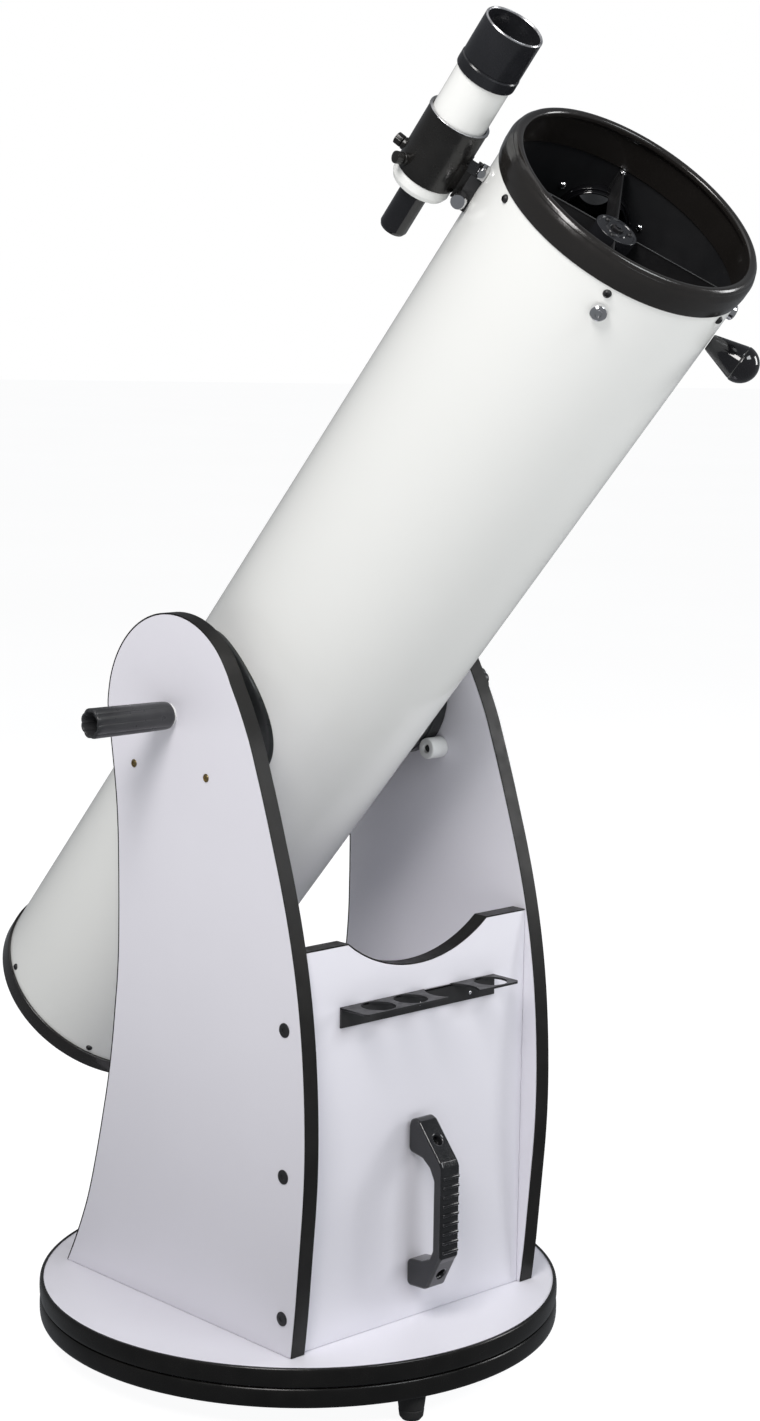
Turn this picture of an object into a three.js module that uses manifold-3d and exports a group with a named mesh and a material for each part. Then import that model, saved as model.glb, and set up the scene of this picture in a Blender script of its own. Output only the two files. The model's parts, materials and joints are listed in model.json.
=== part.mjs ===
// Solid-tube Dobsonian telescope on a round azimuth base. Millimetres, +Z up, the tube points to -Y.
// The origin is on the floor, under the middle of the whole instrument.
import * as THREE from 'three';
import { mergeVertices } from 'three/addons/utils/BufferGeometryUtils.js';
import Module from 'manifold-3d';

const wasm = await Module();
wasm.setup();

// ---- driving dimensions ----
const GAP = 0.3; // clearance left between neighbouring pieces
const AXIS_Y = 44.4; // the azimuth axis stands behind the origin
const FOOT_H = 27;
const FOOT_CIRCLE = 232;
const FOOT_ANGLES = [254.8, 14.8, 134.8];
const BOARD_R = 250;
const BOARD_T = 16;
const EDGE_H = 18;
const EDGE_BULGE = 2.6;
const GLIDE_GAP = 3;
const GLIDE_CIRCLE = 190;
const GROUND_Z = FOOT_H + 1;
const ROCKER_Z = GROUND_Z + BOARD_T + GLIDE_GAP;
const DECK_Z = ROCKER_Z + BOARD_T;
const PIVOT_R = 5;
const BOARD_SEGMENTS = 48;

const PANEL_T = 16;
const PANEL_OUT_X = 155.7;
const PANEL_IN_X = PANEL_OUT_X - PANEL_T;
const BAND_T = 1.2;
const FRONT_Y = -161.5;
const FRONT_TOP_Z = 432.6;
const NOTCH_HALF = 87.5;
const NOTCH_R = 142.6;
const ALT_Y = 9; // altitude axis, measured from the azimuth axis
const ALT_Z = 625;
const PANEL_TOP_R = 93.5;

const ALTITUDE = THREE.MathUtils.degToRad(48.05);
const TUBE_R = 114.5;
const TUBE_WALL = 1.3;
const MOUTH_S = 613.7;
const TAIL_S = -452.5;
const TRUNNION_R = 62.8;
const SADDLE_R = 75;
const TRUNNION_X = 138.2;
const SUPPORT_R = 10.3;
const SUPPORT_SPREAD = 52.5;
const SUPPORT_IN_X = 119.8;
const STUD_R = 4;
const GRIP_IN_X = 157.9;
const GRIP_OUT_X = 246;

const FOCUS_ANGLE = THREE.MathUtils.degToRad(47);
const FOCUS_S = 523.5;
const FOCUS_BORE_R = 29;
const DRAWTUBE_R = 28.7;
const SPIDER_S = 565;
const HUB_R = 19;
const SECONDARY_R = 22;
const MIRROR_R = 101.5;
const MIRROR_SAG = 2.3;
const COLLIMATION_CIRCLE = 76;

const FINDER_ANGLE = THREE.MathUtils.degToRad(128.5);
const FINDER_D = 156.5;
const KNOB_ANGLE = THREE.MathUtils.degToRad(-58);
const KNOB_S = 546;

// ---- materials ----
function paint(color, roughness, metalness) {
  return new THREE.MeshStandardMaterial({ color, roughness, metalness });
}
const laminate = () => paint(0xdcd9e2, 0.45, 0);
const blackPlastic = () => paint(0x1c1c1d, 0.5, 0);
const edgePlastic = () => paint(0x3b3a3a, 0.55, 0);
const whiteSteel = () => paint(0xf0f0ee, 0.22, 0.1);
const blackCast = () => paint(0x232322, 0.6, 0.3);
const chrome = () => paint(0xd0d0d0, 0.15, 1);
const steel = () => paint(0x9a9a9c, 0.35, 1);
const nylon = () => paint(0xeef0ee, 0.5, 0);
const mirrorGlass = () => paint(0xdfe6ea, 0.03, 1);

// ---- solid helpers ----
function toManifold(geometry) {
  const bare = geometry.clone();
  bare.deleteAttribute('normal');
  bare.deleteAttribute('uv');
  const merged = mergeVertices(bare, 1e-4);
  const vertProperties = new Float32Array(merged.attributes.position.array);
  const triVerts = new Uint32Array(merged.index.array);
  return new wasm.Manifold(new wasm.Mesh({ numProp: 3, vertProperties, triVerts }));
}

function toGeometry(manifold) {
  const mesh = manifold.getMesh();
  const geometry = new THREE.BufferGeometry();
  geometry.setAttribute('position', new THREE.BufferAttribute(new Float32Array(mesh.vertProperties), 3));
  geometry.setIndex(new THREE.BufferAttribute(new Uint32Array(mesh.triVerts), 1));
  geometry.computeVertexNormals();
  return geometry;
}

function combine(method, first, others) {
  let body = toManifold(first);
  for (const other of others) body = body[method](toManifold(other));
  return toGeometry(body);
}
const join = (first, ...others) => combine('add', first, others);
const cut = (first, ...others) => combine('subtract', first, others);
const common = (first, ...others) => combine('intersect', first, others);

function signedVolume(geometry) {
  const p = geometry.attributes.position;
  const index = geometry.index.array;
  const [a, b, c] = [new THREE.Vector3(), new THREE.Vector3(), new THREE.Vector3()];
  let volume = 0;
  for (let i = 0; i < index.length; i += 3) {
    a.fromBufferAttribute(p, index[i]);
    b.fromBufferAttribute(p, index[i + 1]);
    c.fromBufferAttribute(p, index[i + 2]);
    volume += a.dot(b.cross(c)) / 6;
  }
  return volume;
}

function faceOutward(geometry) {
  if (signedVolume(geometry) < 0) {
    const index = geometry.index.array;
    for (let i = 0; i < index.length; i += 3) {
      [index[i + 1], index[i + 2]] = [index[i + 2], index[i + 1]];
    }
  }
  return geometry;
}

// A turned solid about Z from [radius, height] pairs. A profile off the axis is closed on itself.
function turned(profile, segments = 32) {
  const points = profile.map(([r, z]) => new THREE.Vector2(r, z));
  if (profile[0][0] > 0) points.push(points[0].clone());
  const geometry = new THREE.LatheGeometry(points, segments);
  geometry.rotateX(Math.PI / 2);
  return faceOutward(geometry);
}

function disc(radius, z0, z1, segments = 32) {
  return turned([[0, z0], [radius, z0], [radius, z1], [0, z1]], segments);
}

function ring(outer, inner, z0, z1, segments = 32) {
  return turned([[inner, z0], [outer, z0], [outer, z1], [inner, z1]], segments);
}

function block(x0, x1, y0, y1, z0, z1) {
  const geometry = new THREE.BoxGeometry(x1 - x0, y1 - y0, z1 - z0);
  return geometry.translate((x0 + x1) / 2, (y0 + y1) / 2, (z0 + z1) / 2);
}

// Turns a shape built about Z so that it lies along X.
function alongX(geometry) {
  return geometry.rotateY(Math.PI / 2);
}

function alongY(geometry) {
  return geometry.rotateX(-Math.PI / 2);
}

// Skins a stack of equal-sized loops of points and closes both ends with a fan.
function loft(loops) {
  const count = loops[0].length;
  const positions = [];
  for (const loop of loops) for (const point of loop) positions.push(point.x, point.y, point.z);
  const index = [];
  for (let k = 0; k + 1 < loops.length; k += 1) {
    for (let i = 0; i < count; i += 1) {
      const j = (i + 1) % count;
      const [a, b] = [k * count + i, k * count + j];
      index.push(a, b, b + count, a, b + count, a + count);
    }
  }
  for (const [k, flip] of [[0, true], [loops.length - 1, false]]) {
    const centre = loops[k].reduce((sum, point) => sum.add(point), new THREE.Vector3());
    centre.divideScalar(count);
    const hub = positions.length / 3;
    positions.push(centre.x, centre.y, centre.z);
    for (let i = 0; i < count; i += 1) {
      const j = (i + 1) % count;
      const [a, b] = [k * count + i, k * count + j];
      index.push(hub, flip ? b : a, flip ? a : b);
    }
  }
  const geometry = new THREE.BufferGeometry();
  geometry.setAttribute('position', new THREE.Float32BufferAttribute(positions, 3));
  geometry.setIndex(index);
  return faceOutward(geometry);
}

function lobedLoop(radius, lobes, depth, z, count = 40) {
  const loop = [];
  for (let i = 0; i < count; i += 1) {
    const angle = (i / count) * 2 * Math.PI;
    const r = radius * (1 + depth * Math.cos(lobes * angle));
    loop.push(new THREE.Vector3(r * Math.cos(angle), r * Math.sin(angle), z));
  }
  return loop;
}

function shapeOf(points) {
  return new THREE.Shape(points.map(([x, y]) => new THREE.Vector2(x, y)));
}

function extrude(shape, depth, options = {}) {
  const settings = { depth, bevelEnabled: false, curveSegments: 16, steps: 1, ...options };
  return new THREE.ExtrudeGeometry(shape, settings);
}

// Stands a drawing made in (y, z) upright and runs its thickness along +X from x0.
function standAlongX(geometry, x0) {
  const basis = new THREE.Matrix4().makeBasis(
    new THREE.Vector3(0, 1, 0),
    new THREE.Vector3(0, 0, 1),
    new THREE.Vector3(1, 0, 0),
  );
  return geometry.applyMatrix4(basis).translate(x0, 0, 0);
}

// Stands a drawing made in (x, z) upright and runs its thickness along -Y from y0.
function standAlongY(geometry, y0) {
  const basis = new THREE.Matrix4().makeBasis(
    new THREE.Vector3(1, 0, 0),
    new THREE.Vector3(0, 0, 1),
    new THREE.Vector3(0, -1, 0),
  );
  return geometry.applyMatrix4(basis).translate(0, y0, 0);
}

// Moves an open outline sideways by a distance; positive goes to the right of its travel.
function offsetPath(points, distance) {
  return points.map((point, i) => {
    const before = points[Math.max(i - 1, 0)];
    const after = points[Math.min(i + 1, points.length - 1)];
    const length = Math.hypot(after[0] - before[0], after[1] - before[1]);
    const normal = [(after[1] - before[1]) / length, -(after[0] - before[0]) / length];
    return [point[0] + normal[0] * distance, point[1] + normal[1] * distance];
  });
}

function addTo(group, name, geometry, material) {
  const mesh = new THREE.Mesh(geometry, material);
  mesh.name = name;
  group.add(mesh);
  return mesh;
}

const telescope = new THREE.Group();
const mountGroup = new THREE.Group();
mountGroup.position.y = AXIS_Y;
telescope.add(mountGroup);

// ---- ground board, feet and azimuth pivot ----
function boardEdge(z0) {
  const inner = BOARD_R + GAP;
  const bulge = BOARD_R + EDGE_BULGE;
  return turned([
    [inner, z0], [inner + 1.2, z0], [bulge, z0 + 5], [bulge, z0 + EDGE_H - 5],
    [inner + 1.2, z0 + EDGE_H], [inner, z0 + EDGE_H],
  ], BOARD_SEGMENTS);
}

function polar(radius, degrees) {
  const angle = THREE.MathUtils.degToRad(degrees);
  return [radius * Math.cos(angle), radius * Math.sin(angle)];
}

FOOT_ANGLES.forEach((angle, i) => {
  const profile = [
    [0, 0], [8, 0], [10.8, 3], [13.5, GROUND_Z - GAP], [0, GROUND_Z - GAP],
  ];
  const foot = addTo(mountGroup, `foot_${i + 1}`, turned(profile, 20), blackPlastic());
  const [x, y] = polar(FOOT_CIRCLE, angle);
  foot.position.set(x, y, 0);
});

const groundBoard = ring(BOARD_R, PIVOT_R + GAP, GROUND_Z, GROUND_Z + BOARD_T, BOARD_SEGMENTS);
addTo(mountGroup, 'ground_board', groundBoard, laminate());
addTo(mountGroup, 'ground_board_edge', boardEdge(GROUND_Z - 1), edgePlastic());

[74.8, 194.8, 314.8].forEach((angle, i) => {
  const z0 = GROUND_Z + BOARD_T + GAP;
  const pad = addTo(mountGroup, `glide_pad_${i + 1}`, disc(15, z0, ROCKER_Z - GAP, 16), nylon());
  const [x, y] = polar(GLIDE_CIRCLE, angle);
  pad.position.set(x, y, 0);
});

const pivotTop = DECK_Z + 16;
const pivotProfile = [
  [0, GROUND_Z - 8], [10, GROUND_Z - 8], [10, GROUND_Z - GAP], [PIVOT_R, GROUND_Z - GAP],
  [PIVOT_R, pivotTop], [0, pivotTop],
];
addTo(mountGroup, 'pivot_bolt', turned(pivotProfile, 16), steel());
const nutBlank = disc(10, DECK_Z + GAP, DECK_Z + 11, 6);
const nutBore = disc(PIVOT_R + GAP, DECK_Z - 5, DECK_Z + 15, 16);
addTo(mountGroup, 'pivot_nut', cut(nutBlank, nutBore), steel());

// ---- rocker: azimuth board, side panels, front panel ----
const pivotHole = PIVOT_R + GAP;
addTo(mountGroup, 'azimuth_board', ring(BOARD_R, pivotHole, ROCKER_Z, DECK_Z, BOARD_SEGMENTS), laminate());
addTo(mountGroup, 'azimuth_board_edge', boardEdge(ROCKER_Z - 1), edgePlastic());

const panelFoot = DECK_Z + GAP;
function panelOutline() {
  const front = new THREE.SplineCurve([
    [-166.4, 63], [-171, 100], [-176.6, 160], [-180.8, 210], [-182.4, 255], [-181, 305], [-176.5, 358],
    [-168, 412], [-154.5, 468], [-137.4, 522], [-118, 577], [-99, 624], [-77, 663],
  ].map(([y, z]) => new THREE.Vector2(y, z)));
  const outline = front.getPoints(20).map((p) => [p.x, p.y]);
  for (let degrees = 150; degrees >= 6; degrees -= 12) {
    const [y, z] = polar(PANEL_TOP_R, degrees);
    outline.push([8.5 + y, 624.6 + z]);
  }
  const rear = new THREE.SplineCurve([
    [102, 622], [96.5, 588], [90.5, 548], [87, 507], [86, 440], [87, 385], [91.2, 342], [99.1, 284],
    [110.4, 230], [129.9, 155], [148, 107], [169.6, 63],
  ].map(([y, z]) => new THREE.Vector2(y, z)));
  outline.push(...rear.getPoints(18).map((p) => [p.x, p.y]));
  outline[0][1] = panelFoot;
  outline[outline.length - 1][1] = panelFoot;
  return outline;
}

function level(path, z) {
  path[0][1] = z;
  path[path.length - 1][1] = z;
  return path;
}

const outerPath = panelOutline();
const bandInner = level(offsetPath(outerPath, BAND_T), panelFoot);
const corePath = level(offsetPath(outerPath, BAND_T + GAP), panelFoot);

for (const [side, x0] of [['left', -PANEL_OUT_X], ['right', PANEL_IN_X]]) {
  const board = standAlongX(extrude(shapeOf(corePath), PANEL_T), x0);
  const holes = [alongX(disc(STUD_R + 1, x0 - 1, x0 + PANEL_T + 1, 24)).translate(0, ALT_Y, ALT_Z)];
  addTo(mountGroup, `side_panel_${side}`, cut(board, ...holes), laminate());
  const strip = shapeOf([...outerPath, ...[...bandInner].reverse()]);
  addTo(mountGroup, `side_panel_${side}_edge`, standAlongX(extrude(strip, PANEL_T), x0), edgePlastic());
}

function notchPath(halfWidth) {
  const centreZ = FRONT_TOP_Z + Math.sqrt(NOTCH_R ** 2 - NOTCH_HALF ** 2);
  const reach = Math.asin(NOTCH_HALF / NOTCH_R);
  const path = [[-halfWidth, FRONT_TOP_Z]];
  for (let i = 0; i <= 20; i += 1) {
    const angle = -reach + (2 * reach * i) / 20;
    path.push([NOTCH_R * Math.sin(angle), centreZ - NOTCH_R * Math.cos(angle)]);
  }
  path.push([halfWidth, FRONT_TOP_Z]);
  return path;
}

const frontHalf = PANEL_IN_X - GAP;
const frontTop = notchPath(frontHalf);
const frontStrip = offsetPath(frontTop, BAND_T);
const frontCore = offsetPath(frontTop, BAND_T + GAP);
for (const path of [frontStrip, frontCore]) {
  path[0][0] = -frontHalf;
  path[path.length - 1][0] = frontHalf;
}
const frontShape = shapeOf([[-frontHalf, panelFoot], [frontHalf, panelFoot], ...[...frontCore].reverse()]);
addTo(mountGroup, 'front_panel', standAlongY(extrude(frontShape, PANEL_T), FRONT_Y + PANEL_T), laminate());
const frontEdge = shapeOf([...frontStrip, ...[...frontTop].reverse()]);
const frontBand = standAlongY(extrude(frontEdge, PANEL_T), FRONT_Y + PANEL_T);
addTo(mountGroup, 'front_panel_edge', frontBand, edgePlastic());

// ---- eyepiece rack ----
function rackShelf() {
  const shelf = shapeOf([[-97.5, 0], [97.5, 0], [97.5, 32], [94, 35.5], [-94, 35.5], [-97.5, 32]]);
  for (const x of [-67, -27, 76]) {
    const hole = new THREE.Path();
    hole.absarc(x, 17.5, 15.9, 0, 2 * Math.PI, true);
    shelf.holes.push(hole);
  }
  return extrude(shelf, 2, { curveSegments: 12 });
}
const rackBack = FRONT_Y - GAP;
const shelf = rackShelf().rotateX(Math.PI).translate(0, rackBack, 376);
const largeHole = disc(25.6, 370, 380, 32).translate(24, rackBack - 19.5, 0);
const flange = block(-97.5, 97.5, rackBack - 2, rackBack, 357, 375);
addTo(mountGroup, 'eyepiece_rack', join(cut(shelf, largeHole), flange), blackPlastic());

// ---- carry handle ----
const handleProfile = [
  [0, 97], [-23, 98.5], [-28, 101], [-42, 128], [-45.5, 133], [-45.5, 219], [-42.5, 224], [-14.5, 256.5],
  [-8, 259], [-2, 256.5], [0, 250], [0, 226], [-18, 223], [-28, 215.5], [-33.5, 205], [-33.5, 138],
  [-29, 129.5], [-18, 124.5], [0, 122.5],
].map(([y, z]) => [y * 0.99 - 1.6, z]);
const handleShape = shapeOf(handleProfile);
const handleBevel = { bevelEnabled: true, bevelThickness: 1.5, bevelSize: 1.3, bevelSegments: 2 };
const handleBar = standAlongX(extrude(handleShape, 21, handleBevel), -10.5);
const handleRibs = [];
for (let i = 0; i < 9; i += 1) {
  const z = 139 + i * 8.8;
  handleRibs.push(block(-8, 8, -48.6, -44, z - 1.3, z + 1.3));
}
const handle = addTo(mountGroup, 'carry_handle', join(handleBar, ...handleRibs), blackPlastic());
handle.position.y = FRONT_Y - GAP;

// ---- nylon posts that carry the altitude bearings ----
const supportDrop = Math.sqrt((TRUNNION_R + SUPPORT_R + GAP) ** 2 - SUPPORT_SPREAD ** 2);
const supportEnd = PANEL_IN_X - GAP;
const supportProfile = [
  [2.2, SUPPORT_IN_X], [SUPPORT_R - 1.5, SUPPORT_IN_X],
  [SUPPORT_R, SUPPORT_IN_X + 1.5], [SUPPORT_R, supportEnd],
  [2.2, supportEnd],
];
for (const [side, sign] of [['left', -1], ['right', 1]]) {
  for (const [place, forward] of [['front', -1], ['rear', 1]]) {
    const support = alongX(turned(supportProfile, 16));
    if (sign < 0) support.rotateZ(Math.PI);
    const mesh = addTo(mountGroup, `bearing_post_${side}_${place}`, support, nylon());
    mesh.position.set(0, ALT_Y + forward * SUPPORT_SPREAD, ALT_Z - supportDrop);
  }
}

// ---- optical tube, in its own frame: Z towards the sky, origin on the altitude axis ----
const tube = new THREE.Group();
tube.position.set(0, ALT_Y, ALT_Z);
tube.rotation.x = Math.PI / 2 - ALTITUDE;
mountGroup.add(tube);

const TUBE_SEGMENTS = 48;
function radial(geometry, angle, s) {
  return geometry.rotateY(Math.PI / 2).rotateZ(angle).translate(0, 0, s);
}

const spiderAngles = [0, 1, 2, 3].map((i) => FOCUS_ANGLE + (i * Math.PI) / 2);
const tubeShell = ring(TUBE_R, TUBE_R - TUBE_WALL, TAIL_S + 3.5, MOUTH_S - 4.5, TUBE_SEGMENTS);
const tubeCuts = [radial(disc(31, 90, 130, 32), FOCUS_ANGLE, FOCUS_S)];
for (const angle of spiderAngles) tubeCuts.push(radial(disc(2.7, 105, 125, 8), angle, SPIDER_S));
addTo(tube, 'main_tube', cut(tubeShell, ...tubeCuts), whiteSteel());

const slotOut = TUBE_R + GAP;
const slotIn = TUBE_R - TUBE_WALL - GAP;
const frontRing = turned([
  [slotOut, 587.4], [slotOut + 2, 587.4], [slotOut + 2, MOUTH_S - 8], [slotOut - 1, MOUTH_S - 1.6],
  [slotOut - 5.8, MOUTH_S], [slotOut - 8.4, MOUTH_S - 3], [slotOut - 7.6, MOUTH_S - 6.5],
  [slotOut - 3.6, MOUTH_S - 9], [slotOut - 3.6, 578], [slotIn, 578], [slotIn, MOUTH_S - 4.2],
  [slotOut, MOUTH_S - 4.2],
], TUBE_SEGMENTS);
addTo(tube, 'front_ring', frontRing, blackCast());

const rearRing = turned([
  [slotOut, -434.5], [slotOut + 2.4, -434.5], [slotOut + 2.4, TAIL_S + 2], [slotOut + 1, TAIL_S],
  [100, TAIL_S], [100, TAIL_S + 3], [slotOut, TAIL_S + 3],
], TUBE_SEGMENTS);
addTo(tube, 'rear_ring', rearRing, blackCast());

// ---- altitude trunnions and tension handles ----
const tubeEnvelope = disc(TUBE_R + 4, -100, 100, TUBE_SEGMENTS);
const tubeCutter = disc(TUBE_R + GAP, -100, 100, TUBE_SEGMENTS);
for (const [side, sign] of [['left', -1], ['right', 1]]) {
  const turn = (geometry) => (sign < 0 ? alongX(geometry).rotateZ(Math.PI) : alongX(geometry));
  const saddle = common(turn(disc(SADDLE_R, 60, 125, 32)), tubeEnvelope);
  const drum = turn(turned([
    [0, 60], [TRUNNION_R, 60], [TRUNNION_R, TRUNNION_X - 1], [TRUNNION_R - 1, TRUNNION_X], [0, TRUNNION_X],
  ], 32));
  const socket = turn(disc(STUD_R + GAP, 50, 150, 12));
  const trunnion = cut(join(saddle, drum), tubeCutter, socket);
  addTo(tube, `altitude_bearing_${side}`, trunnion, blackPlastic());

  const grip = loft([
    lobedLoop(8.5, 8, 0, 0), lobedLoop(11.8, 8, 0.02, 2), lobedLoop(12.4, 8, 0.05, 8),
    lobedLoop(13.2, 8, 0.07, GRIP_OUT_X - GRIP_IN_X), lobedLoop(9.6, 8, 0.03, GRIP_OUT_X - GRIP_IN_X),
    lobedLoop(9.2, 8, 0.02, GRIP_OUT_X - GRIP_IN_X - 14),
  ]).translate(0, 0, GRIP_IN_X);
  const stud = disc(STUD_R, 118, GRIP_IN_X + 20, 12);
  addTo(tube, `tension_handle_${side}`, turn(join(grip, stud)), blackPlastic());
}

// ---- spider and secondary mirror ----
const vaneEnd = TUBE_R - TUBE_WALL - GAP;
const hubTop = 579;
let spider = ring(HUB_R, 3 + GAP, hubTop - 12, hubTop, 24);
for (const angle of spiderAngles) {
  const vane = block(HUB_R - 6, vaneEnd, -0.6, 0.6, hubTop - 25.4, hubTop - 1.5).rotateZ(angle);
  const foot = block(vaneEnd - 3, vaneEnd, -3, 3, hubTop - 25.4, hubTop - 1.5).rotateZ(angle);
  const stud = radial(disc(2.2, vaneEnd - 4, TUBE_R + 5, 8), angle, SPIDER_S);
  spider = join(spider, vane, foot, stud);
}
const hubClear = disc(HUB_R - 0.7, 540, hubTop - 12, 24);
addTo(tube, 'spider', cut(spider, hubClear), blackCast());

spiderAngles.forEach((angle, i) => {
  const profile = [
    [0, TUBE_R + 5.8], [2.6, TUBE_R + 5.8], [2.6, TUBE_R + 0.5], [7, TUBE_R + 0.5], [7, TUBE_R + 6.4],
    [5, TUBE_R + 8], [0, TUBE_R + 8],
  ];
  addTo(tube, `spider_nut_${i + 1}`, radial(turned(profile, 10), angle, SPIDER_S), chrome());
});

// The secondary sits on a face tilted halfway between the tube axis and the focuser axis.
function tiltedSlab(low, high) {
  const slab = block(-60, 60, -60, 60, low, high);
  return slab.rotateY(-Math.PI / 4).rotateZ(FOCUS_ANGLE).translate(0, 0, FOCUS_S);
}
const column = disc(HUB_R - 1.2, FOCUS_S - 40, hubTop - 12.5, 24);
const holderBody = common(column, tiltedSlab(5.5, 120));
const hubBolt = disc(3, hubTop - 20, hubTop + 4, 12);
addTo(tube, 'secondary_holder', join(holderBody, hubBolt), blackCast());
const secondaryRod = disc(SECONDARY_R, FOCUS_S - 60, FOCUS_S + 60, 32);
addTo(tube, 'secondary_mirror', common(secondaryRod, tiltedSlab(0, 5.2)), mirrorGlass());

// ---- primary mirror and its cell ----
const cellAngles = [90, 210, 330].map((degrees) => THREE.MathUtils.degToRad(degrees));
const cellZ = TAIL_S + 3.5;
let cell = ring(vaneEnd, 98, cellZ, cellZ + 7, 32);
cell = join(cell, disc(26, cellZ, cellZ + 7, 24));
for (const angle of cellAngles) {
  cell = join(cell, block(10, 102, -13, 13, cellZ, cellZ + 7).rotateZ(angle));
}
const cellHoles = cellAngles.map((angle) => {
  const hole = disc(3, cellZ - 5, cellZ + 12, 8);
  return hole.translate(COLLIMATION_CIRCLE * Math.cos(angle), COLLIMATION_CIRCLE * Math.sin(angle), 0);
});
addTo(tube, 'mirror_cell', cut(cell, ...cellHoles), blackCast());

const plateZ = cellZ + 18;
let plate = ring(104, 70, plateZ, plateZ + 4, 30);
for (const angle of cellAngles) {
  const post = block(MIRROR_R + GAP, 108, -7, 7, plateZ, plateZ + 31).rotateZ(angle + Math.PI / 3);
  const lip = block(MIRROR_R - 5, 108, -7, 7, plateZ + 29, plateZ + 31).rotateZ(angle + Math.PI / 3);
  plate = join(plate, post, lip);
}
const plateHoles = cellAngles.map((angle) => {
  const hole = disc(2.3 + GAP, plateZ - 5, plateZ + 9, 8);
  return hole.translate(COLLIMATION_CIRCLE * Math.cos(angle), COLLIMATION_CIRCLE * Math.sin(angle), 0);
});
addTo(tube, 'mirror_plate', cut(plate, ...plateHoles), blackCast());

const mirrorBack = plateZ + 4 + GAP;
const mirrorRim = mirrorBack + 24;
const primaryProfile = [[0, mirrorBack], [MIRROR_R, mirrorBack], [MIRROR_R, mirrorRim]];
for (let i = 2; i >= 0; i -= 1) {
  const r = (MIRROR_R * i) / 3;
  primaryProfile.push([r, mirrorRim - MIRROR_SAG * (1 - (r / MIRROR_R) ** 2)]);
}
addTo(tube, 'primary_mirror', turned(primaryProfile, 36), mirrorGlass());

cellAngles.forEach((angle, i) => {
  const profile = [
    [0, TAIL_S - 9.5], [9, TAIL_S - 9.5], [9, TAIL_S - 0.5], [2.3, TAIL_S - 0.5],
    [2.3, plateZ + 2.5], [0, plateZ + 2.5],
  ];
  const knob = addTo(tube, `collimation_knob_${i + 1}`, turned(profile, 12), blackPlastic());
  knob.position.set(COLLIMATION_CIRCLE * Math.cos(angle), COLLIMATION_CIRCLE * Math.sin(angle), 0);
});

// ---- focuser: local X outward from the tube, Y across, Z along the tube ----
const focuser = new THREE.Group();
focuser.rotation.z = FOCUS_ANGLE;
focuser.position.z = FOCUS_S;
tube.add(focuser);

const shaftX = 145;
const shaftZ = -(DRAWTUBE_R + 3.6);
const wallCutter = disc(TUBE_R + GAP, -80, 80, TUBE_SEGMENTS).rotateZ(-FOCUS_ANGLE);
const saddlePlate = block(100, 122, -46, 46, -33, 33);
const housing = alongX(disc(34, 118, 156, 32));
const shaftBox = block(120, 152, -20, 20, shaftZ - 8, 0);
const focuserBore = alongX(disc(FOCUS_BORE_R, 80, 170, 32));
const shaftHole = alongY(disc(3 + GAP, -60, 60, 12)).translate(shaftX, 0, shaftZ);
const focuserBase = cut(join(saddlePlate, housing, shaftBox), wallCutter, focuserBore, shaftHole);
addTo(focuser, 'focuser_base', focuserBase, blackCast());

const drawtubeProfile = [
  [26, 109], [DRAWTUBE_R - 0.8, 109], [DRAWTUBE_R - 0.8, 176], [34, 176], [34, 194], [26, 194],
];
const clampHole = alongY(disc(2.3, 20, 45, 8)).translate(185, 0, 0);
addTo(focuser, 'drawtube', cut(alongX(turned(drawtubeProfile, 32)), clampHole), blackCast());

const adapterProfile = [
  [15.9, 172], [25.6, 172], [25.6, 194.3], [29, 194.3], [29, 205], [15.9, 205],
];
addTo(focuser, 'eyepiece_adapter', alongX(turned(adapterProfile, 32)), blackPlastic());

const clampProfile = [
  [0, 26.2], [2, 26.2], [2, 34.6], [6.5, 34.6], [6.5, 44.5], [0, 44.5],
];
const clampScrew = alongY(turned(clampProfile, 12)).translate(185, 0, 0);
addTo(focuser, 'drawtube_clamp_screw', clampScrew, chrome());

const focusKnobProfile = [
  [0, -58], [18, -58], [20, -56], [20, -38], [18, -36], [3, -36], [3, 36], [18, 36], [20, 38],
  [20, 56], [18, 58], [0, 58],
];
const focusKnobs = alongY(turned(focusKnobProfile, 16)).translate(shaftX, 0, shaftZ);
addTo(focuser, 'focus_knobs', focusKnobs, blackPlastic());

// ---- finder: local X outward from the tube, Y across, Z along the tube ----
const finder = new THREE.Group();
finder.rotation.z = FINDER_ANGLE;
tube.add(finder);
const onFinderAxis = (geometry) => geometry.translate(FINDER_D, 0, 0);

const shoeCutter = disc(TUBE_R + GAP, 500, 580, TUBE_SEGMENTS).rotateZ(-FINDER_ANGLE);
const shoeBody = join(
  block(108, 118.5, -17, 17, 526, 556),
  block(112, 124, 12.5, 17, 526, 556),
  block(112, 124, -17, -12.5, 526, 556),
);
const shoeScrewHole = alongY(disc(2.3, 10, 20, 8)).translate(121.4, 0, 536);
addTo(finder, 'finder_shoe', cut(shoeBody, shoeCutter, shoeScrewHole), blackPlastic());

const shoeScrewProfile = [
  [0, 12.4], [2, 12.4], [2, 17.6], [6.6, 17.6], [6.6, 28.4], [0, 28.4],
];
const shoeScrew = alongY(turned(shoeScrewProfile, 12)).translate(121.4, 0, 536);
addTo(finder, 'finder_shoe_screw', shoeScrew, chrome());

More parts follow.
